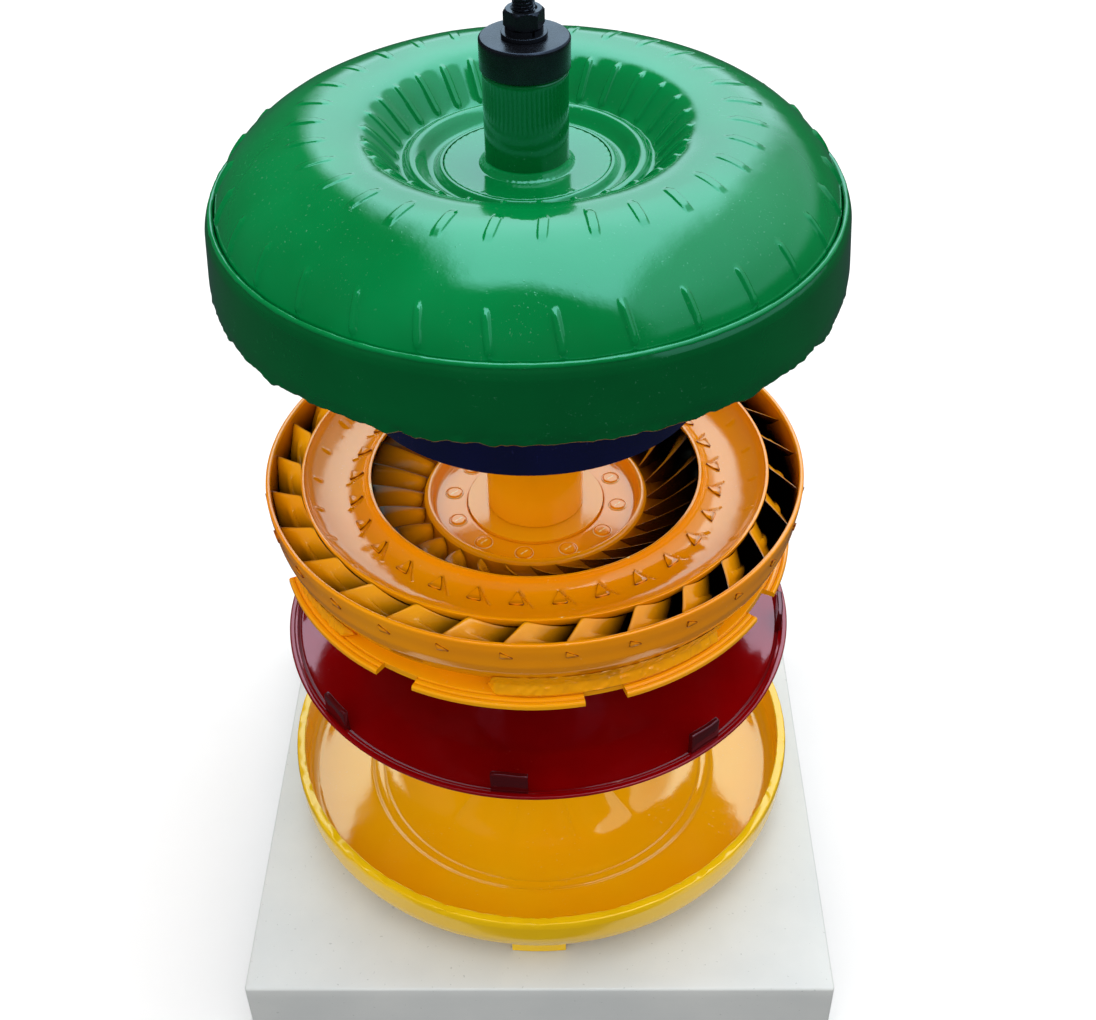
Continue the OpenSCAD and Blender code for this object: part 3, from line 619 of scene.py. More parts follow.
def pump_bump(r, z, a):
    """Ribs on the outside of the shell only."""
    from_dome = np.hypot(r[0][:, None] - dome[:, 0], z[0][:, None] - dome[:, 1])
    return pump_ribs(r, z, a) * (from_dome.min(1) < 1e-4)


ribbed = dense(PUMP_BLADES, PUMP_FIRST,
               [0.06, 0.1, 0.14, 0.17, 0.2, 0.23, 0.26, 0.31, 0.4, 0.55, 0.75])
turned(Form(), shell_profile, ribbed, Z_PUMP, bump=pump_bump, twist=pump_twist).piece(
    "pump_shell_pressing", "pump", [GREEN], ["pump_shell"], "green_enamel")

SKIRT_R = 150
skirt = softened([[144.03, -37.4], [149.2, -37.4], [150, -36.4], [147.6, -5.5], [146.8, -2.6],
                  [145.2, -0.6], [144.6, -0.2], [144.03, -1]], 0.7)
skirt = spaced(skirt, 1.8, closed=True)


def skirt_push(r, z, a):
    """Hand-cut lower edge with slag hanging from it, and a bead of weld along the top."""
    def round_edge(size, seed):
        """Lumps that are the same all the way up the wall."""
        return lumps(SKIRT_R + 0 * r, 0 * z, a, size, seed)

    low = smooth((-28 - z) / 9)
    ragged = 0.45 * round_edge(16, 3) + 0.6 * round_edge(5, 4) + 0.5 * round_edge(2.2, 8)
    drip = np.maximum(0, round_edge(12, 9) - 0.45) * 5
    outer = smooth((r - 145.5) / 2)
    slag = (0.9 * np.maximum(0, lumps(r, z, a, 4, 6) - 0.1)
            + 0.25 * lumps(r, z, a, 1.8, 7)) * low
    bead = 0.4 * smooth((z + 3) / 2.5) * (0.7 + 0.5 * lumps(r, z, a, 3, 11))
    grain = 0.1 * lumps(r, z, a, 20, 12)
    dr = outer * (-0.9 * low + slag + grain * smooth(-z / 10))
    dz = (ragged - drip + 0.9) * low ** 2 + bead
    return dr, dz


def bead_bump(r, z, a):
    """The weld run's small ripples."""
    return 0.18 * lumps(r, z, a, 7, 13) + 0.12 * lumps(r, z, a, 2.6, 14)


# The skirt's wall takes the darker green, painted shade; its weld bead the plain green.
skirt_form = turned(Form(), skirt, even(760), Z_PUMP, push=skirt_push)
BEAD_R = 1.35
bead_turn = even(10)
round_bead = np.stack([144.5 + BEAD_R * np.cos(bead_turn), -0.5 + BEAD_R * np.sin(bead_turn)], 1)
turned(skirt_form, round_bead, even(620), Z_PUMP, bump=bead_bump,
       mark=lambda p, t: np.ones(len(p)))
skirt_form.piece("pump_skirt_sawn", "pump", [GREEN_SHADED, GREEN], ["pump_skirt"], "green_enamel")

hub = softened([[15.5, 7.5], [38.2, 7.5], [38.2, 12.7], [37.6, 13.4], [21.6, 12.2], [20.2, 13],
                [19.1, 15.2], [19.1, 55.8], [18.3, 56.6], [15.5, 56.6]], 0.8)
hub = spaced(hub, 1.2, closed=True)


def hub_bump(r, z, a):
    """Welded corner at the foot of the neck and at the edge of the disc."""
    corner = 0.4 * smooth((2.2 - np.hypot(r - 20.2, z - 13)) / 1.2)
    edge = smooth((2.2 - np.hypot(r - 37.6, z - 13)) / 1.5)
    ripple = 0.5 + 0.5 * np.sin(a * 46 + 2 * lumps(r, z, a, 9, 21))
    return (corner * (0.5 + 0.25 * ripple) + edge * 0.25 * ripple
            + 0.03 * lumps(r, z, a, 14, 22) * (r > 16))


# The neck takes the darker green: painted shade.
turned(Form(), hub, even(240), Z_PUMP, bump=hub_bump,
       mark=lambda p, t: (p[:, 1] > 15.5).astype(int)).piece(
    "pump_neck_and_disc", "pump", [GREEN, GREEN_SHADED], ["pump_hub"], "green_enamel")


# ---- blades ----
SHEET = 1.7


def blade_form(shell, core, count, first, rim, exit_, belly, rib):
    """Bent sheets between a shell line and a core line. rim and exit_ give the angles in
    degrees at the shell and at the core, belly the bend between them. rib is the embossed
    finger's place along the blade, height, half width in mm, and half length."""
    form = Form()
    s = np.concatenate([np.linspace(0, 0.24, 17)[:-1], np.linspace(0.24, 1, 20)])
    steps = len(s)
    v = np.array([0, 0.02, 0.1, 0.25, 0.38, 0.43, 0.47, 0.5, 0.53, 0.57, 0.62, 0.75, 0.9, 0.98, 1])
    across = np.concatenate([v, v[::-1]])
    side = np.concatenate([np.full(len(v), -1.0), np.full(len(v), 1.0)])
    thin = np.where((across < 0.01) | (across > 0.99), 0.45, 1.0)
    line_a, line_b = along(shell, s), along(core, s)
    p = line_a[:, None] + (line_b - line_a)[:, None] * across[None, :, None]
    start_turn = rim[0] + (rim[1] - rim[0]) * across[None]
    end_turn = exit_[0] + (exit_[1] - exit_[0]) * across[None]
    turn = (start_turn * (1 - s[:, None]) + end_turn * s[:, None]
            + belly * np.sin(math.pi * s)[:, None])
    ends = np.minimum(1, 0.45 + 14 * np.minimum(s, 1 - s))[:, None]
    width = np.linalg.norm(line_b - line_a, axis=1)[:, None]
    # Marked faces take the blade's second material, a darker copy: painted shade on one face of
    # each blade.
    side_mark = np.zeros(len(across), int)
    side_mark[1:len(v) - 2] = 1
    rib_at, rib_height, rib_half, rib_reach = rib
    ds = s[:, None] - rib_at
    dv = (across[None] - 0.5) * width
    emboss = rib_height * smooth((rib_half - np.abs(dv)) / 1.3 + 0.5) * smooth(
        (rib_reach - np.abs(ds)) / 0.025 + 0.5)
    offset = side[None] * SHEET / 2 * thin[None] * ends + emboss
    marks = np.concatenate([np.tile(side_mark, steps - 1), np.zeros(2 * (len(v) - 1), int)])
    for k in range(count):
        a = np.radians(first + 360 * k / count + turn) + offset / p[..., 0]
        lofted(form, polar(p[..., 0], a, p[..., 1]), mark=marks)
    return form


TROUGH_R, TROUGH_HALF, TROUGH_DEEP, TROUGH_TILT, TROUGH_Z = 104.35, 16.45, 10.6, 2.5, -1.3


def core_trough(n):
    """Inside of the core ring, from its outer lip down and up to its inner lip."""
    a = np.linspace(0, math.pi, n)
    return np.stack([TROUGH_R + TROUGH_HALF * np.cos(a),
                     TROUGH_Z - TROUGH_TILT * (1 - np.cos(a)) - TROUGH_DEEP * np.sin(a)], 1)


def shifted(form, dz):
    """The same form at another station."""
    form.verts = [v + np.array([0, 0, dz]) for v in form.verts]
    return form


wall_turn = np.radians(np.arange(11) * 9)
rise_turn = np.radians(np.arange(1, 8) * 90 / 7)
bowl = np.concatenate([[[138.2, 0], [137.9, -5]],
                       np.stack([104 + 33 * np.cos(wall_turn),
                                 -11 - 30.6 * np.sin(wall_turn)], 1),
                       np.stack([104 - 44.6 * np.sin(rise_turn),
                                 -41.6 + 17.6 * (1 - np.cos(rise_turn))], 1)])
blade_shell = beside(bowl[1:], -0.25)
blade_core = beside(core_trough(19), 2.1)
TURBINE_FIRST = -96.3
shifted(blade_form(blade_shell, blade_core, TURBINE_BLADES, TURBINE_FIRST, (0, 5), (-8, 1.3), 17,
                   (0.15, 2.6, 1.5, 0.1)), Z_TURBINE).piece(
    "turbine_blade_sheets", "turbine", [BLADE, SHADED], ["turbine_blades"], "orange_enamel")

trough_pump = np.stack([core_trough(19)[:, 0], -9 - core_trough(19)[:, 1] + TROUGH_Z], 1)
cavity = beside(pump_dome(13), 3.8)
pump_shell_line = np.concatenate([[[EDGE_R - 3.9, -9]], cavity[2:-1]])
pump_core_line = beside(trough_pump, -2.1)
# One face of each pump blade takes the darker green: painted shade.
shifted(blade_form(pump_shell_line, pump_core_line, PUMP_BLADES, PUMP_BLADE_FIRST, (0, 2),
                   (-4, 0), 9, (0.24, 0.8, 2.6, 0.13)), Z_PUMP).piece(
    "pump_blade_sheets", "pump", [GREEN, GREEN_SHADED], ["pump_blades"], "green_enamel")

# ---- turbine ----
lip = [[58.6, -22.6], [57, -21.8], [55.4, -22.6], [54.2, -28.2], [52.8, -29.4], [36.3, -29.4]]
bottom = [[36.3, -31.8], [57.5, -31.8]]
bowl_under = beside(bowl, 2.4)[:-2]
turbine_profile = spaced(softened(np.concatenate([bowl, lip, bottom, bowl_under[::-1]]), 1.0),
                         1.6, closed=True)
TAB_FIRST = -94.5
HUB_TOP = -29.38


def turbine_push(r, z, a):
    """Slow unevenness of the pressing."""
    return 0.16 * lumps(r, z, a, 30, 31) + 0.05 * lumps(r, z, a, 8, 32), 0 * r


def turbine_marks(p, t):
    """Channel side of the bowl, which takes a darker orange with painted shade going near-black
    with depth.
    """
    facing = t[:, 1] * (104 - p[:, 0]) - t[:, 0] * (-8 - p[:, 1]) > 0
    return (facing & (p[:, 0] > 59.5) & (p[:, 1] < -1.5)).astype(int)


def wall_surface(z):
    """Point and normal on the outside of the shell's wall, at the turbine's station."""
    spot = np.stack([np.interp(-z, [0, 5, 11], [140.6, 140.3, 139.4]), z + Z_TURBINE], 1)
    return spot, np.array([0.99, 0.1])


turbine = turned(Form(), turbine_profile, even(464), Z_TURBINE, push=turbine_push,
                 mark=turbine_marks)
for k in range(TURBINE_BLADES):
    plate(turbine, [[-3.1, -4.6], [-3, -9.4], [3.4, -9]],
          math.radians(TAB_FIRST + 360 * k / TURBINE_BLADES), wall_surface, 0.9)
turbine.piece("turbine_shell_pressing", "turbine", [ORANGE, CHANNEL], ["turbine_shell"],
              "orange_enamel")

trough = core_trough(44)
trough_profile = spaced(softened(np.concatenate([trough, beside(core_trough(30), 1.6)[::-1]]),
                                 0.4), 1.0, closed=True)


def trough_surface(r):
    """Point and normal on the inside of the trough, at the turbine's station."""
    c = (r - TROUGH_R) / TROUGH_HALF
    s = np.sqrt(np.clip(1 - c * c, 0.02, 1))
    slope = (TROUGH_TILT + TROUGH_DEEP * c / s) / TROUGH_HALF
    spot = np.stack([r, TROUGH_Z - TROUGH_TILT * (1 - c) - TROUGH_DEEP * s + Z_TURBINE], 1)
    normal = np.stack([-slope, np.ones(len(r))], 1)
    return spot, normal / np.linalg.norm(normal, axis=1)[:, None]


def trough_bump(r, z, a):
    """Slots that the blades' tabs come through, and small swellings by the outer wall."""
    x = r * wrap(a, TURBINE_BLADES, TAB_FIRST)
    c = (r - TROUGH_R) / TROUGH_HALF
    inside = z > TROUGH_Z - TROUGH_TILT * (1 - c) - TROUGH_DEEP * np.sqrt(
        np.clip(1 - c ** 2, 0, 1)) - 0.5
    slot = capsule(x - 0.9 * (r - 91) - 0.5, r - 91.2, 8.5, 0.45, 0.5)
    x2 = r * wrap(a, TURBINE_BLADES, TAB_FIRST + 4.2)
    swelling = capsule(x2, r - 113.6, 2.2, 1.1, 1.2)
    uneven = 0.14 * lumps(r, z, a, 16, 41) + 0.06 * lumps(r, z, a, 5, 42)
    return np.where(inside, 0.55 * swelling - slot, 0) + uneven


trough_form = turned(Form(), trough_profile, dense(
    TURBINE_BLADES, TAB_FIRST + 2, [0.08, 0.16, 0.24, 0.32, 0.4, 0.48, 0.56, 0.66, 0.8]),
    Z_TURBINE, bump=trough_bump)
for k in range(TURBINE_BLADES):
    plate(trough_form, [[0.2, 91], [-4, 98.6], [4.1, 98.6]],
          math.radians(TAB_FIRST + 360 * k / TURBINE_BLADES), trough_surface, 1.0)
trough_form.piece("turbine_core_trough", "turbine", [ORANGE], ["turbine_core_ring"],
                  "orange_enamel")

UNDER = -8.6
buried_head = np.array([[0.02, UNDER - 1.68], [1.8, UNDER - 1.66], [3.2, UNDER - 1.5],
                        [4.1, UNDER - 1.1], [4.5, UNDER - 0.5], [4.5, UNDER], [3, UNDER], [3, 0]])
rivets = Form()
flat_head = np.array([[5, 0], [4.95, 0.35], [4.6, 0.45], [4.4, 0.1], [4.1, 0.1], [3.95, 0.55],
                      [3.7, 0.7], [3.2, 0.72], [1.8, 0.72], [0.02, 0.72]])
head = np.concatenate([buried_head, flat_head])
pts = polar(head[None, :, 0], even(28)[:, None], head[None, :, 1])
RIVETS, RIVET_FIRST, RIVET_R = 12, 23.2, 44.2
for k in range(RIVETS):
    a = math.radians(RIVET_FIRST + 30 * k)
    spot = np.array([RIVET_R * math.cos(a), RIVET_R * math.sin(a), Z_TURBINE])
    rivets.add(pts + spot + np.array([0, 0, HUB_TOP]), grid(28, len(head)))
rivets.piece("hub_rivet_set", "turbine", [ORANGE], ["hub_rivets"], "orange_enamel")

ring_profile = spaced(softened([[117, -47.4], [136.6, -47.4], [136.6, -45.2], [135.9, -44.4],
                                [134.2, -44.4], [133.9, -45], [133.3, -45], [133, -44.3],
                                [131.2, -44], [130.9, -44.7], [130.3, -44.7], [130, -43.8],
                                [124, -43], [119.5, -41.8], [117, -43.2]], 0.25), 1.5, closed=True)
NOTCH_FIRST = -74.8
edge_a = math.asin(10.4 / 136) * 180 / math.pi
half_pitch = 180 / TAB_COUNT
notch_offsets = [0.15, 0.3, (edge_a - 0.35) / half_pitch, (edge_a - 0.02) / half_pitch,
                 (edge_a + 0.02) / half_pitch, (edge_a + 0.35) / half_pitch]
notch_offsets += list(np.linspace((edge_a + 1.2) / half_pitch, 0.97, 16))


def notch_push(r, z, a):
    """Notches cut into the rim of the drive ring for the piston's tabs."""
    off = np.abs(np.degrees(wrap(a, TAB_COUNT, NOTCH_FIRST)))
    cut = (off < edge_a) & (r > 130)
    return (np.where(cut, 130 - r, 0) + 0.05 * lumps(r, z, a, 18, 51),
            0.12 * lumps(r, z, a, 26, 52))


turned(Form(), ring_profile, dense(TAB_COUNT, NOTCH_FIRST, notch_offsets), Z_TURBINE,
       push=notch_push).piece("drive_ring_notched", "turbine", [ORANGE_EVEN], ["drive_ring"],
                              "orange_enamel")

weld_form = Form()
corner = beside(bowl[5:10], 2.43)
section = softened(np.concatenate([corner, [[120.4, -41.8], [124.1, -42.94], [131.2, -43.5],
                                            [132.2, -42], [130.9, -36]]]), 0.8)
section = spaced(section, 1.3, closed=True)


def weld_bump(r, z, a):
    """Overlapping ripples of the weld, with spatter."""
    ripple = 0.3 * np.sin(a * 150 + 1.5 * lumps(r, z, a, 12, 61))
    low_edge = smooth((r - 127.5) / 2.5)
    return 0.5 + ripple + 0.6 * lumps(r, z, a, 4.5, 62) + (0.3 + 1.2 * low_edge) * np.maximum(
        0, lumps(r, z, a, 2, 63))


WELD_R, WELD_Z = 126.5, -41.5
WELD_RUNS, WELD_FROM, WELD_TO = 4, -100, -44
for k in range(WELD_RUNS):
    sweep = np.radians(np.linspace(WELD_FROM + 90 * k, WELD_TO + 90 * k, 150))

    def weld_push(r, z, a, sweep=sweep):
        """A rippled face, and a run that draws in to its middle at both ends."""
        near = np.minimum(a - sweep[0], sweep[-1] - a) * 128
        pull = 1 - smooth(near / 6)
        h = weld_bump(r, z, a)
        lift = smooth((z + 43) / 1.5)
        return ((WELD_R - r) * pull * 0.97 + h * 0.6 * lift,
                (WELD_Z - z) * pull * 0.97 + h * 0.5 * lift)

    turned(weld_form, section, sweep, Z_TURBINE, push=weld_push, closed=False)
weld_form.piece("drive_ring_weld_runs", "turbine", [ORANGE_EVEN], ["drive_ring_welds"],
                "orange_enamel")

# ---- lock-up piston ----
disc = [[30.06, 6], [30.06, -12], [60, -12], [110, -5.6], [134, -5.6], [137.5, -4.2],
        [141, -1.6], [141, -0.5], [140.5, 0], [138.4, 0], [137.9, -0.5], [136.4, -0.5],
        [135.9, -1.6], [134.6, -2.6], [110, -2.6], [60, -9], [34.5, -9], [33, -7.5], [33, 6]]
disc = spaced(softened(disc, 0.8), 2.2, closed=True)
piston = turned(Form(), disc, even(420), Z_PISTON,
                bump=lambda r, z, a: 0.06 * lumps(r, z, a, 24, 71) * (r > 34))
tab_section = softened([[134.4, -3], [137.6, -3], [137.6, 11.4], [137, 12], [134.8, 12]], 0.5)
tab_section = spaced(tab_section, 2.5, closed=True)
tab_inward = tab_section.mean(0) - tab_section
tab_inward /= np.linalg.norm(tab_inward, axis=1)[:, None]
PISTON_TAB_FIRST = -95.3
for k in range(TAB_COUNT):
    turn = math.radians(PISTON_TAB_FIRST + 360 * k / TAB_COUNT)
    across = [-9.5, -9.3, -8.9, -6, -3, 0, 3, 6, 8.9, 9.3, 9.5]
    shrink = [0.45, 0.2, 0, 0, 0, 0, 0, 0, 0, 0.2, 0.45]
    tab = []
    for y, drawn_in in zip(across, shrink):
        q = tab_section + tab_inward * drawn_in
        lean = 0.25 * np.sin(y * 0.3 + k) * smooth(q[:, 1] / 12)
        tab.append(np.stack([q[:, 0] + lean, np.full(len(q), y), q[:, 1]], 1))
    tab = np.array(tab)
    c, s = math.cos(turn), math.sin(turn)
    x, y = tab[..., 0] * c - tab[..., 1] * s, tab[..., 0] * s + tab[..., 1] * c
    rings = np.stack([x, y, tab[..., 2] + Z_PISTON], -1)[::-1]
    if rings.shape[1] % 2:
        rings = np.concatenate([rings, rings[:, -1:]], 1)
    # Tabs take the darker red copy: painted shade.
    lofted(piston, rings, mark=1)
piston.piece("piston_disc_and_tabs", "piston", [RED, RED_SHADED_TABS], ["lockup_piston"], "red_enamel",
             weld=True)

# ---- front cover ----
quarter = np.radians(np.linspace(0, 90, 13)[1:])
DOME_R, DOME_HALF_RISE = 26, 11


def central_dome(start_r, floor_z):
    """Rise from the cover's floor to the crank pilot."""
    turn = np.linspace(0, 180, 25)[1:]
    return np.stack([start_r - (start_r - DOME_R) * (turn / 180),
                     floor_z + DOME_HALF_RISE * (1 - np.cos(turn * math.pi / 180))], 1)


inside = np.concatenate([[[143.4, 0], [143.7, -12]],
                         np.stack([143.7 - 8 * (1 - np.cos(quarter)),
                                   -20.4 - 8 * np.sin(quarter)], 1),
                         curve([[108, -28.4], [105.4, -28.6], [103.6, -29.7], [101, -30.1],
                                [98.6, -30], [97.2, -30.8], [94, -31]], 3),
                         central_dome(94, -31)])
outside = np.concatenate([[[148.2, 0], [148.8, -4], [148.6, -12]],
                          np.stack([148.6 - 20 * (1 - np.cos(quarter)),
                                    -12 - 20.9 * np.sin(quarter)], 1),
                          [[102.5, -32.9], [100.5, -34.8], [93, -34.8]], central_dome(93, -34.8)])
cover_profile = np.concatenate([inside, [[20.03, -8.3], [20.03, -12.8]], outside[::-1]])
cover_profile = spaced(softened(cover_profile, 0.7), 2.0, closed=True)
FLUTES, FLUTE_FIRST = 12, -103.5


def cover_bump(r, z, a):
    """Radial flutes pressed in the middle, a knocked rim and one deep chip in it."""
    flute = np.abs(np.sin(FLUTES / 2 * (a - math.radians(FLUTE_FIRST)))) ** 0.7
    inner = smooth((80 - r) / 13) * smooth((r - 28) / 12)
    rim = smooth((z + 1.2) / 1) * (r > 142)
    knocks = np.minimum(0, 0.28 - np.abs(lumps(r, 0 * z, a, 6, 81))) * rim
    from_chip = np.hypot(r * (a - math.radians(249.5)), 1.5 * (z + 1)) * 0.5
    chip = -0.9 * smooth(1.6 - from_chip) * (r > 142) * (z > -3)
    floor_side = z > -33.4 + np.clip((92 - r) / 66, 0, 1) * 10
    return np.where(floor_side, 1.7, -1.7) * flute * inner + knocks + chip + 0.14 * lumps(
        r, z, a, 30, 82) + 0.04 * lumps(r, z, a, 8, 83)


def cover_marks(p, t):
    """Lemon on the rim and outside, golden inside."""
    faces_down = t[:, 0] > 0.3
    outer = (p[:, 0] > 144.6) | ((p[:, 0] > 142.5) & (p[:, 1] > -0.6)) | (
        faces_down & (p[:, 1] < -10))
    return outer.astype(int)


turned(Form(), cover_profile, even(504), Z_COVER, bump=cover_bump, mark=cover_marks).piece(
    "front_cover_pressing", "cover", [YELLOW, LEMON], ["front_cover"], "yellow_enamel")

# ---- plinth case ----
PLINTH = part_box("plinth_case")
HALF = PLINTH[1].x / MM
CASE_FOOT = PLINTH[0].z / MM
FOLD_R, WALL, HOLE_R = 1.4, 3, 5.15


def square_ring(half, radius, z):
    """Points round a square with rounded corners."""
    pts = []
    for q in range(4):
        turn = q * math.pi / 2
        c, s = math.cos(turn), math.sin(turn)
        side = [(half, y) for y in np.linspace(-(half - radius), half - radius, 22)]
        arc = [(half - radius + radius * math.cos(t), half - radius + radius * math.sin(t))
               for t in np.linspace(0, math.pi / 2, 8)[1:-1]]
        pts += [(x * c - y * s, x * s + y * c, z) for x, y in side + arc]
    return np.array(pts)


case_rings = [square_ring(HALF - 0.5, 1.6, CASE_FOOT), square_ring(HALF, 2, CASE_FOOT + 0.5)]
case_rings += [square_ring(HALF, 2, z) for z in np.linspace(CASE_FOOT + 6, Z_PLINTH - FOLD_R, 6)]
for t in np.radians([22, 45, 68, 90]):
    case_rings.append(square_ring(HALF - FOLD_R * (1 - math.cos(t)), 2,
                                  Z_PLINTH - FOLD_R + FOLD_R * math.sin(t)))
outer_square = square_ring(HALF - FOLD_R, 2, Z_PLINTH)
heading = np.arctan2(outer_square[:, 1], outer_square[:, 0])
hole = polar(HOLE_R, heading, 0)
for share in (0.05, 0.2, 0.4, 0.6, 0.8, 0.93, 1):
    case_rings.append(outer_square * (1 - share) + (hole + [0, 0, Z_PLINTH]) * share)
inner_square = square_ring(HALF - WALL, 1, Z_PLINTH - WALL)
for share in (1, 0.6, 0.2, 0):
    case_rings.append(inner_square * (1 - share) + (hole + [0, 0, Z_PLINTH - WALL]) * share)
case_rings.append(square_ring(HALF - WALL, 1, CASE_FOOT))
case = np.array(case_rings)
Form().add(case.transpose(1, 0, 2), grid(case.shape[1], case.shape[0])).piece(
    "plinth_case_lacquered", "root", [WHITE], ["plinth_case"], "white_lacquer")

# ---- rod, collar, washers and nut ----
PITCH, ROD_R, THREAD_DEPTH = 1.5, 4.98, 0.82
rod_top = top("threaded_rod")
thread_from = Z_COLLAR + 10
rows = np.concatenate([[20, 20, 20.4], np.linspace(21, thread_from, 12),
                       np.arange(thread_from + 0.15, rod_top - 0.4, 0.16),
                       [rod_top - 0.3, rod_top, rod_top, rod_top]])
turn_a = even(48)
phase = (rows[None] / PITCH - turn_a[:, None] / TAU) % 1
tooth = smooth(np.abs(phase - 0.5) * 3.4 - 0.35)
radius = ROD_R - THREAD_DEPTH * tooth * smooth(rows[None] - thread_from)
radius = np.minimum(radius, 4.0 + (rod_top - rows[None]))
for row, end_r in ((0, 0.01), (1, 4.6), (-3, 3.9), (-2, 2.2), (-1, 0.01)):
    radius[:, row] = end_r
rod = polar(radius, turn_a[:, None], rows[None])
Form().add(rod, grid(48, len(rows), close_rows=False)).piece(
    "rod_with_thread", "root", [BLACK], ["threaded_rod"], "black_oxide", weld=True)

collar = spaced(softened([[5.15, 0], [19.3, 0], [20.1, 0.8], [20.1, 13.6], [19.3, 14.4],
                          [5.15, 14.4]], 0.3), 2, closed=True)
turned(Form(), collar, even(160), Z_COLLAR).piece(
    "clamp_collar_turned", "root", [BLACK], ["clamp_collar"], "black_oxide")
washer = softened([[5.2, 0.02], [10.15, 0.02], [10.15, 2], [5.2, 2]], 0.35)
turned(Form(), washer, even(96), Z_COLLAR + 14.4).piece(
    "flat_washer_stamped", "root", [BLACK], ["flat_washer"], "black_oxide")

nut_foot = foot("top_nut")
HALF_FLATS = 8
CORNER = HALF_FLATS / math.cos(math.radians(30))
levels = np.array([0, 0, 0.3, 0.8, 1.2, 2, 4, 6, 6.8, 7.2, 7.7, 8, 8, 7.4])
reach = np.array([5.06, 7.8, 8.1, 8.7, 9.4, 9.4, 9.4, 9.4, 9.4, 8.7, 8.1, 7.8, 5.9, 5.06])
nut_a = even(180)
hexagon = HALF_FLATS / np.cos((nut_a - math.radians(10)) % (math.pi / 3) - math.pi / 6)
hexagon = np.minimum(hexagon, CORNER - 0.15)
nut_r = np.minimum(hexagon[:, None], reach[None])
nut = polar(nut_r, nut_a[:, None], levels[None] + nut_foot)
Form().add(nut, grid(180, len(levels))).piece(
    "top_nut_forged", "root", [BLACK], ["top_nut"], "black_oxide", sharp=24)

# ---- CAD nodes that keep their shape ----
bevelled = {"rod_base_nut", "rod_base_washer", "cover_spacer", "piston_spacer", "turbine_spacer",
            "stator_spacer_tube", "pump_spacer", "spring_washer", "mounting_lugs", "crank_pilot",
            "piston_support_bush"}
for name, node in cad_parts.items():
    if node.hide_render:
        continue
    slots = [s.material.name.split(".")[0] for s in node.material_slots if s.material]
    finish = FINISH.get(slots[0] if slots else "", ZINC)
    if name == "mounting_lugs":
        finish = LEMON
    if not node.material_slots:
        node.data.materials.append(finish)
    for s in node.material_slots:
        s.material = finish
    if name in bevelled:
        b = node.modifiers.new("edge", "BEVEL")
        b.width = 0.5 * MM
        b.segments = 2
        b.limit_method = "ANGLE"
        b.angle_limit = math.radians(40)

# ---- floor, light and camera ----
floor_mesh = bpy.data.meshes.new("studio_floor")
floor_mesh.from_pydata([(-6, -6, 0), (6, -6, 0), (6, 6, 0), (-6, 6, 0)], [], [(0, 1, 2, 3)])
floor = bpy.data.objects.new("studio_floor", floor_mesh)
bpy.context.scene.collection.objects.link(floor)
floor_mesh.materials.append(plain("studio_floor_paint", (0.93, 0.93, 0.93, 1),
                                  (0.91, 0.91, 0.91, 1), 0.7, 6, 0.0))
floor.visible_glossy = False
floor.visible_diffuse = False

world = bpy.data.worlds.new("studio")
bpy.context.scene.world = world
world.use_nodes = True
wt = world.node_tree
sky = wt.nodes["Background"]
ray = add(wt, "ShaderNodeTexCoord").outputs["Generated"]
DX, DY, DZ = add(wt, "ShaderNodeSeparateXYZ", {0: ray}).outputs
WINDOW_LIGHT, ROOM_GLIMMER = 4.2, 0.06
OVERHEAD, FRONT, SIDE = 0.5, 0.75, 1.25
SKY_BLUE = (0.64, 0.85, 1, 1)


def edge(value, low, high):
    """Soft step from 0 to 1 between two directions."""
    return ramp(wt, value, low, high, ease="SMOOTHSTEP")


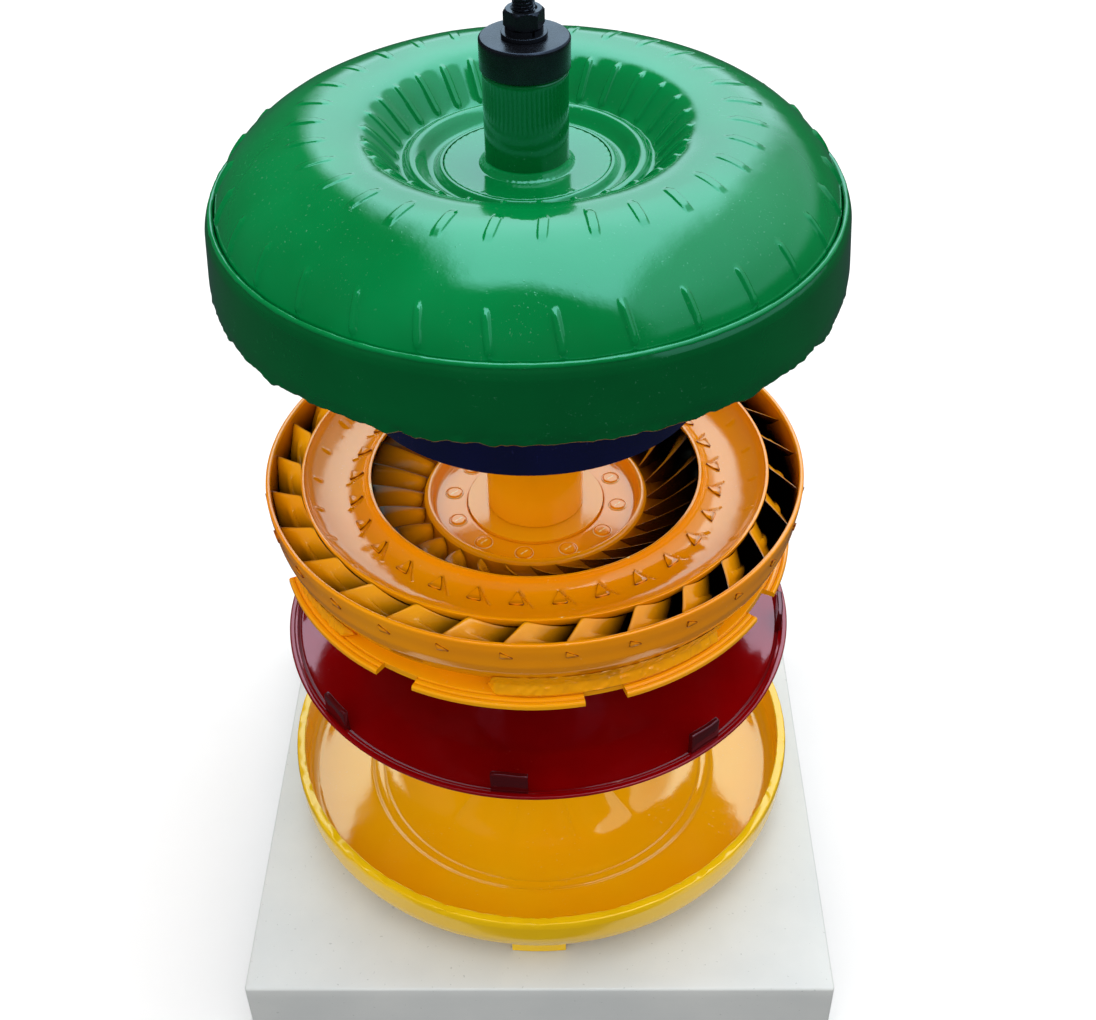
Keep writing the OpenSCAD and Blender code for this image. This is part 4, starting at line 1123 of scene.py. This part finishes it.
# Reflections see a bright window overhead and behind, weaker to the right and cut off to
# the left. Matt surfaces see a soft sky from above, the front and the sides. The camera
# sees white beyond the floor.
path = add(wt, "ShaderNodeLightPath").outputs
behind = plus(wt, DY, times(wt, math_node(wt, "MAXIMUM", DX, 0.0), 0.7))
window = times(wt, edge(DZ, 0.05, 0.22), edge(behind, -0.3, -0.1), edge(DX, -0.36, -0.18),
               less(wt, 1.0, times(wt, edge(DX, 0.34, 0.52), 0.7)),
               plus(wt, 0.5, times(wt, edge(DZ, 0.3, 0.8), 0.5)))
ahead = less(wt, times(wt, DZ, 0.75), times(wt, DY, 0.66))
sides = times(wt, edge(DZ, -0.1, 0.15), less(wt, 1.0, edge(DZ, 0.45, 0.9)),
              plus(wt, 0.25, times(wt, edge(DY, -0.8, 0.1), 0.75)))
soft = plus(wt, times(wt, edge(DZ, -0.1, 0.9), OVERHEAD),
            plus(wt, times(wt, edge(ahead, 0.3, 0.95), FRONT), times(wt, sides, SIDE)))
glossy = plus(wt, times(wt, window, WINDOW_LIGHT), ROOM_GLIMMER)
mirrored = path["Is Glossy Ray"]
level = plus(wt, times(wt, glossy, mirrored), times(wt, soft, less(wt, 1.0, mirrored)))
level = math_node(wt, "MAXIMUM", level, path["Is Camera Ray"])
wt.links.new(level, sky.inputs["Strength"])
wt.links.new(blend(wt, mirrored, (1, 1, 1, 1), SKY_BLUE), sky.inputs["Color"])

for name, place, aim, size, watts in (
        ("key_softbox", (0.5, 0.5, 1.9), (0, 0, 0.25), 1.2, 9),
        ("front_fill", (-0.5, -1.8, 1.2), (0, 0, 0.25), 1.2, 3)):
    light = bpy.data.lights.new(name, "AREA")
    light.size = size
    light.energy = watts
    lamp = bpy.data.objects.new(name, light)
    lamp.location = place
    lamp.rotation_euler = (Vector(aim) - Vector(place)).to_track_quat("-Z", "Y").to_euler()
    lamp.visible_glossy = False
    bpy.context.scene.collection.objects.link(lamp)

YAW, PITCH_DOWN, ROLL = (math.radians(v) for v in (-1.12, 40.05, -1.01))
look = Vector((math.sin(YAW) * math.cos(PITCH_DOWN), math.cos(YAW) * math.cos(PITCH_DOWN),
               -math.sin(PITCH_DOWN)))
right = Vector((math.cos(YAW), -math.sin(YAW), 0))
up = right.cross(look)
right, up = (math.cos(ROLL) * right + math.sin(ROLL) * up,
             -math.sin(ROLL) * right + math.cos(ROLL) * up)
camera = bpy.data.objects.new("camera", bpy.data.cameras.new("camera"))
bpy.context.scene.collection.objects.link(camera)
camera.data.lens = 49.86
camera.data.sensor_width = 36
EYE = Vector((0.0189, -0.6295, 0.7865))
camera.matrix_world = Matrix.Translation(EYE) @ Matrix((right, up, -look)).transposed().to_4x4()
bpy.context.scene.camera = camera
bpy.context.scene.view_settings.view_transform = "Standard"
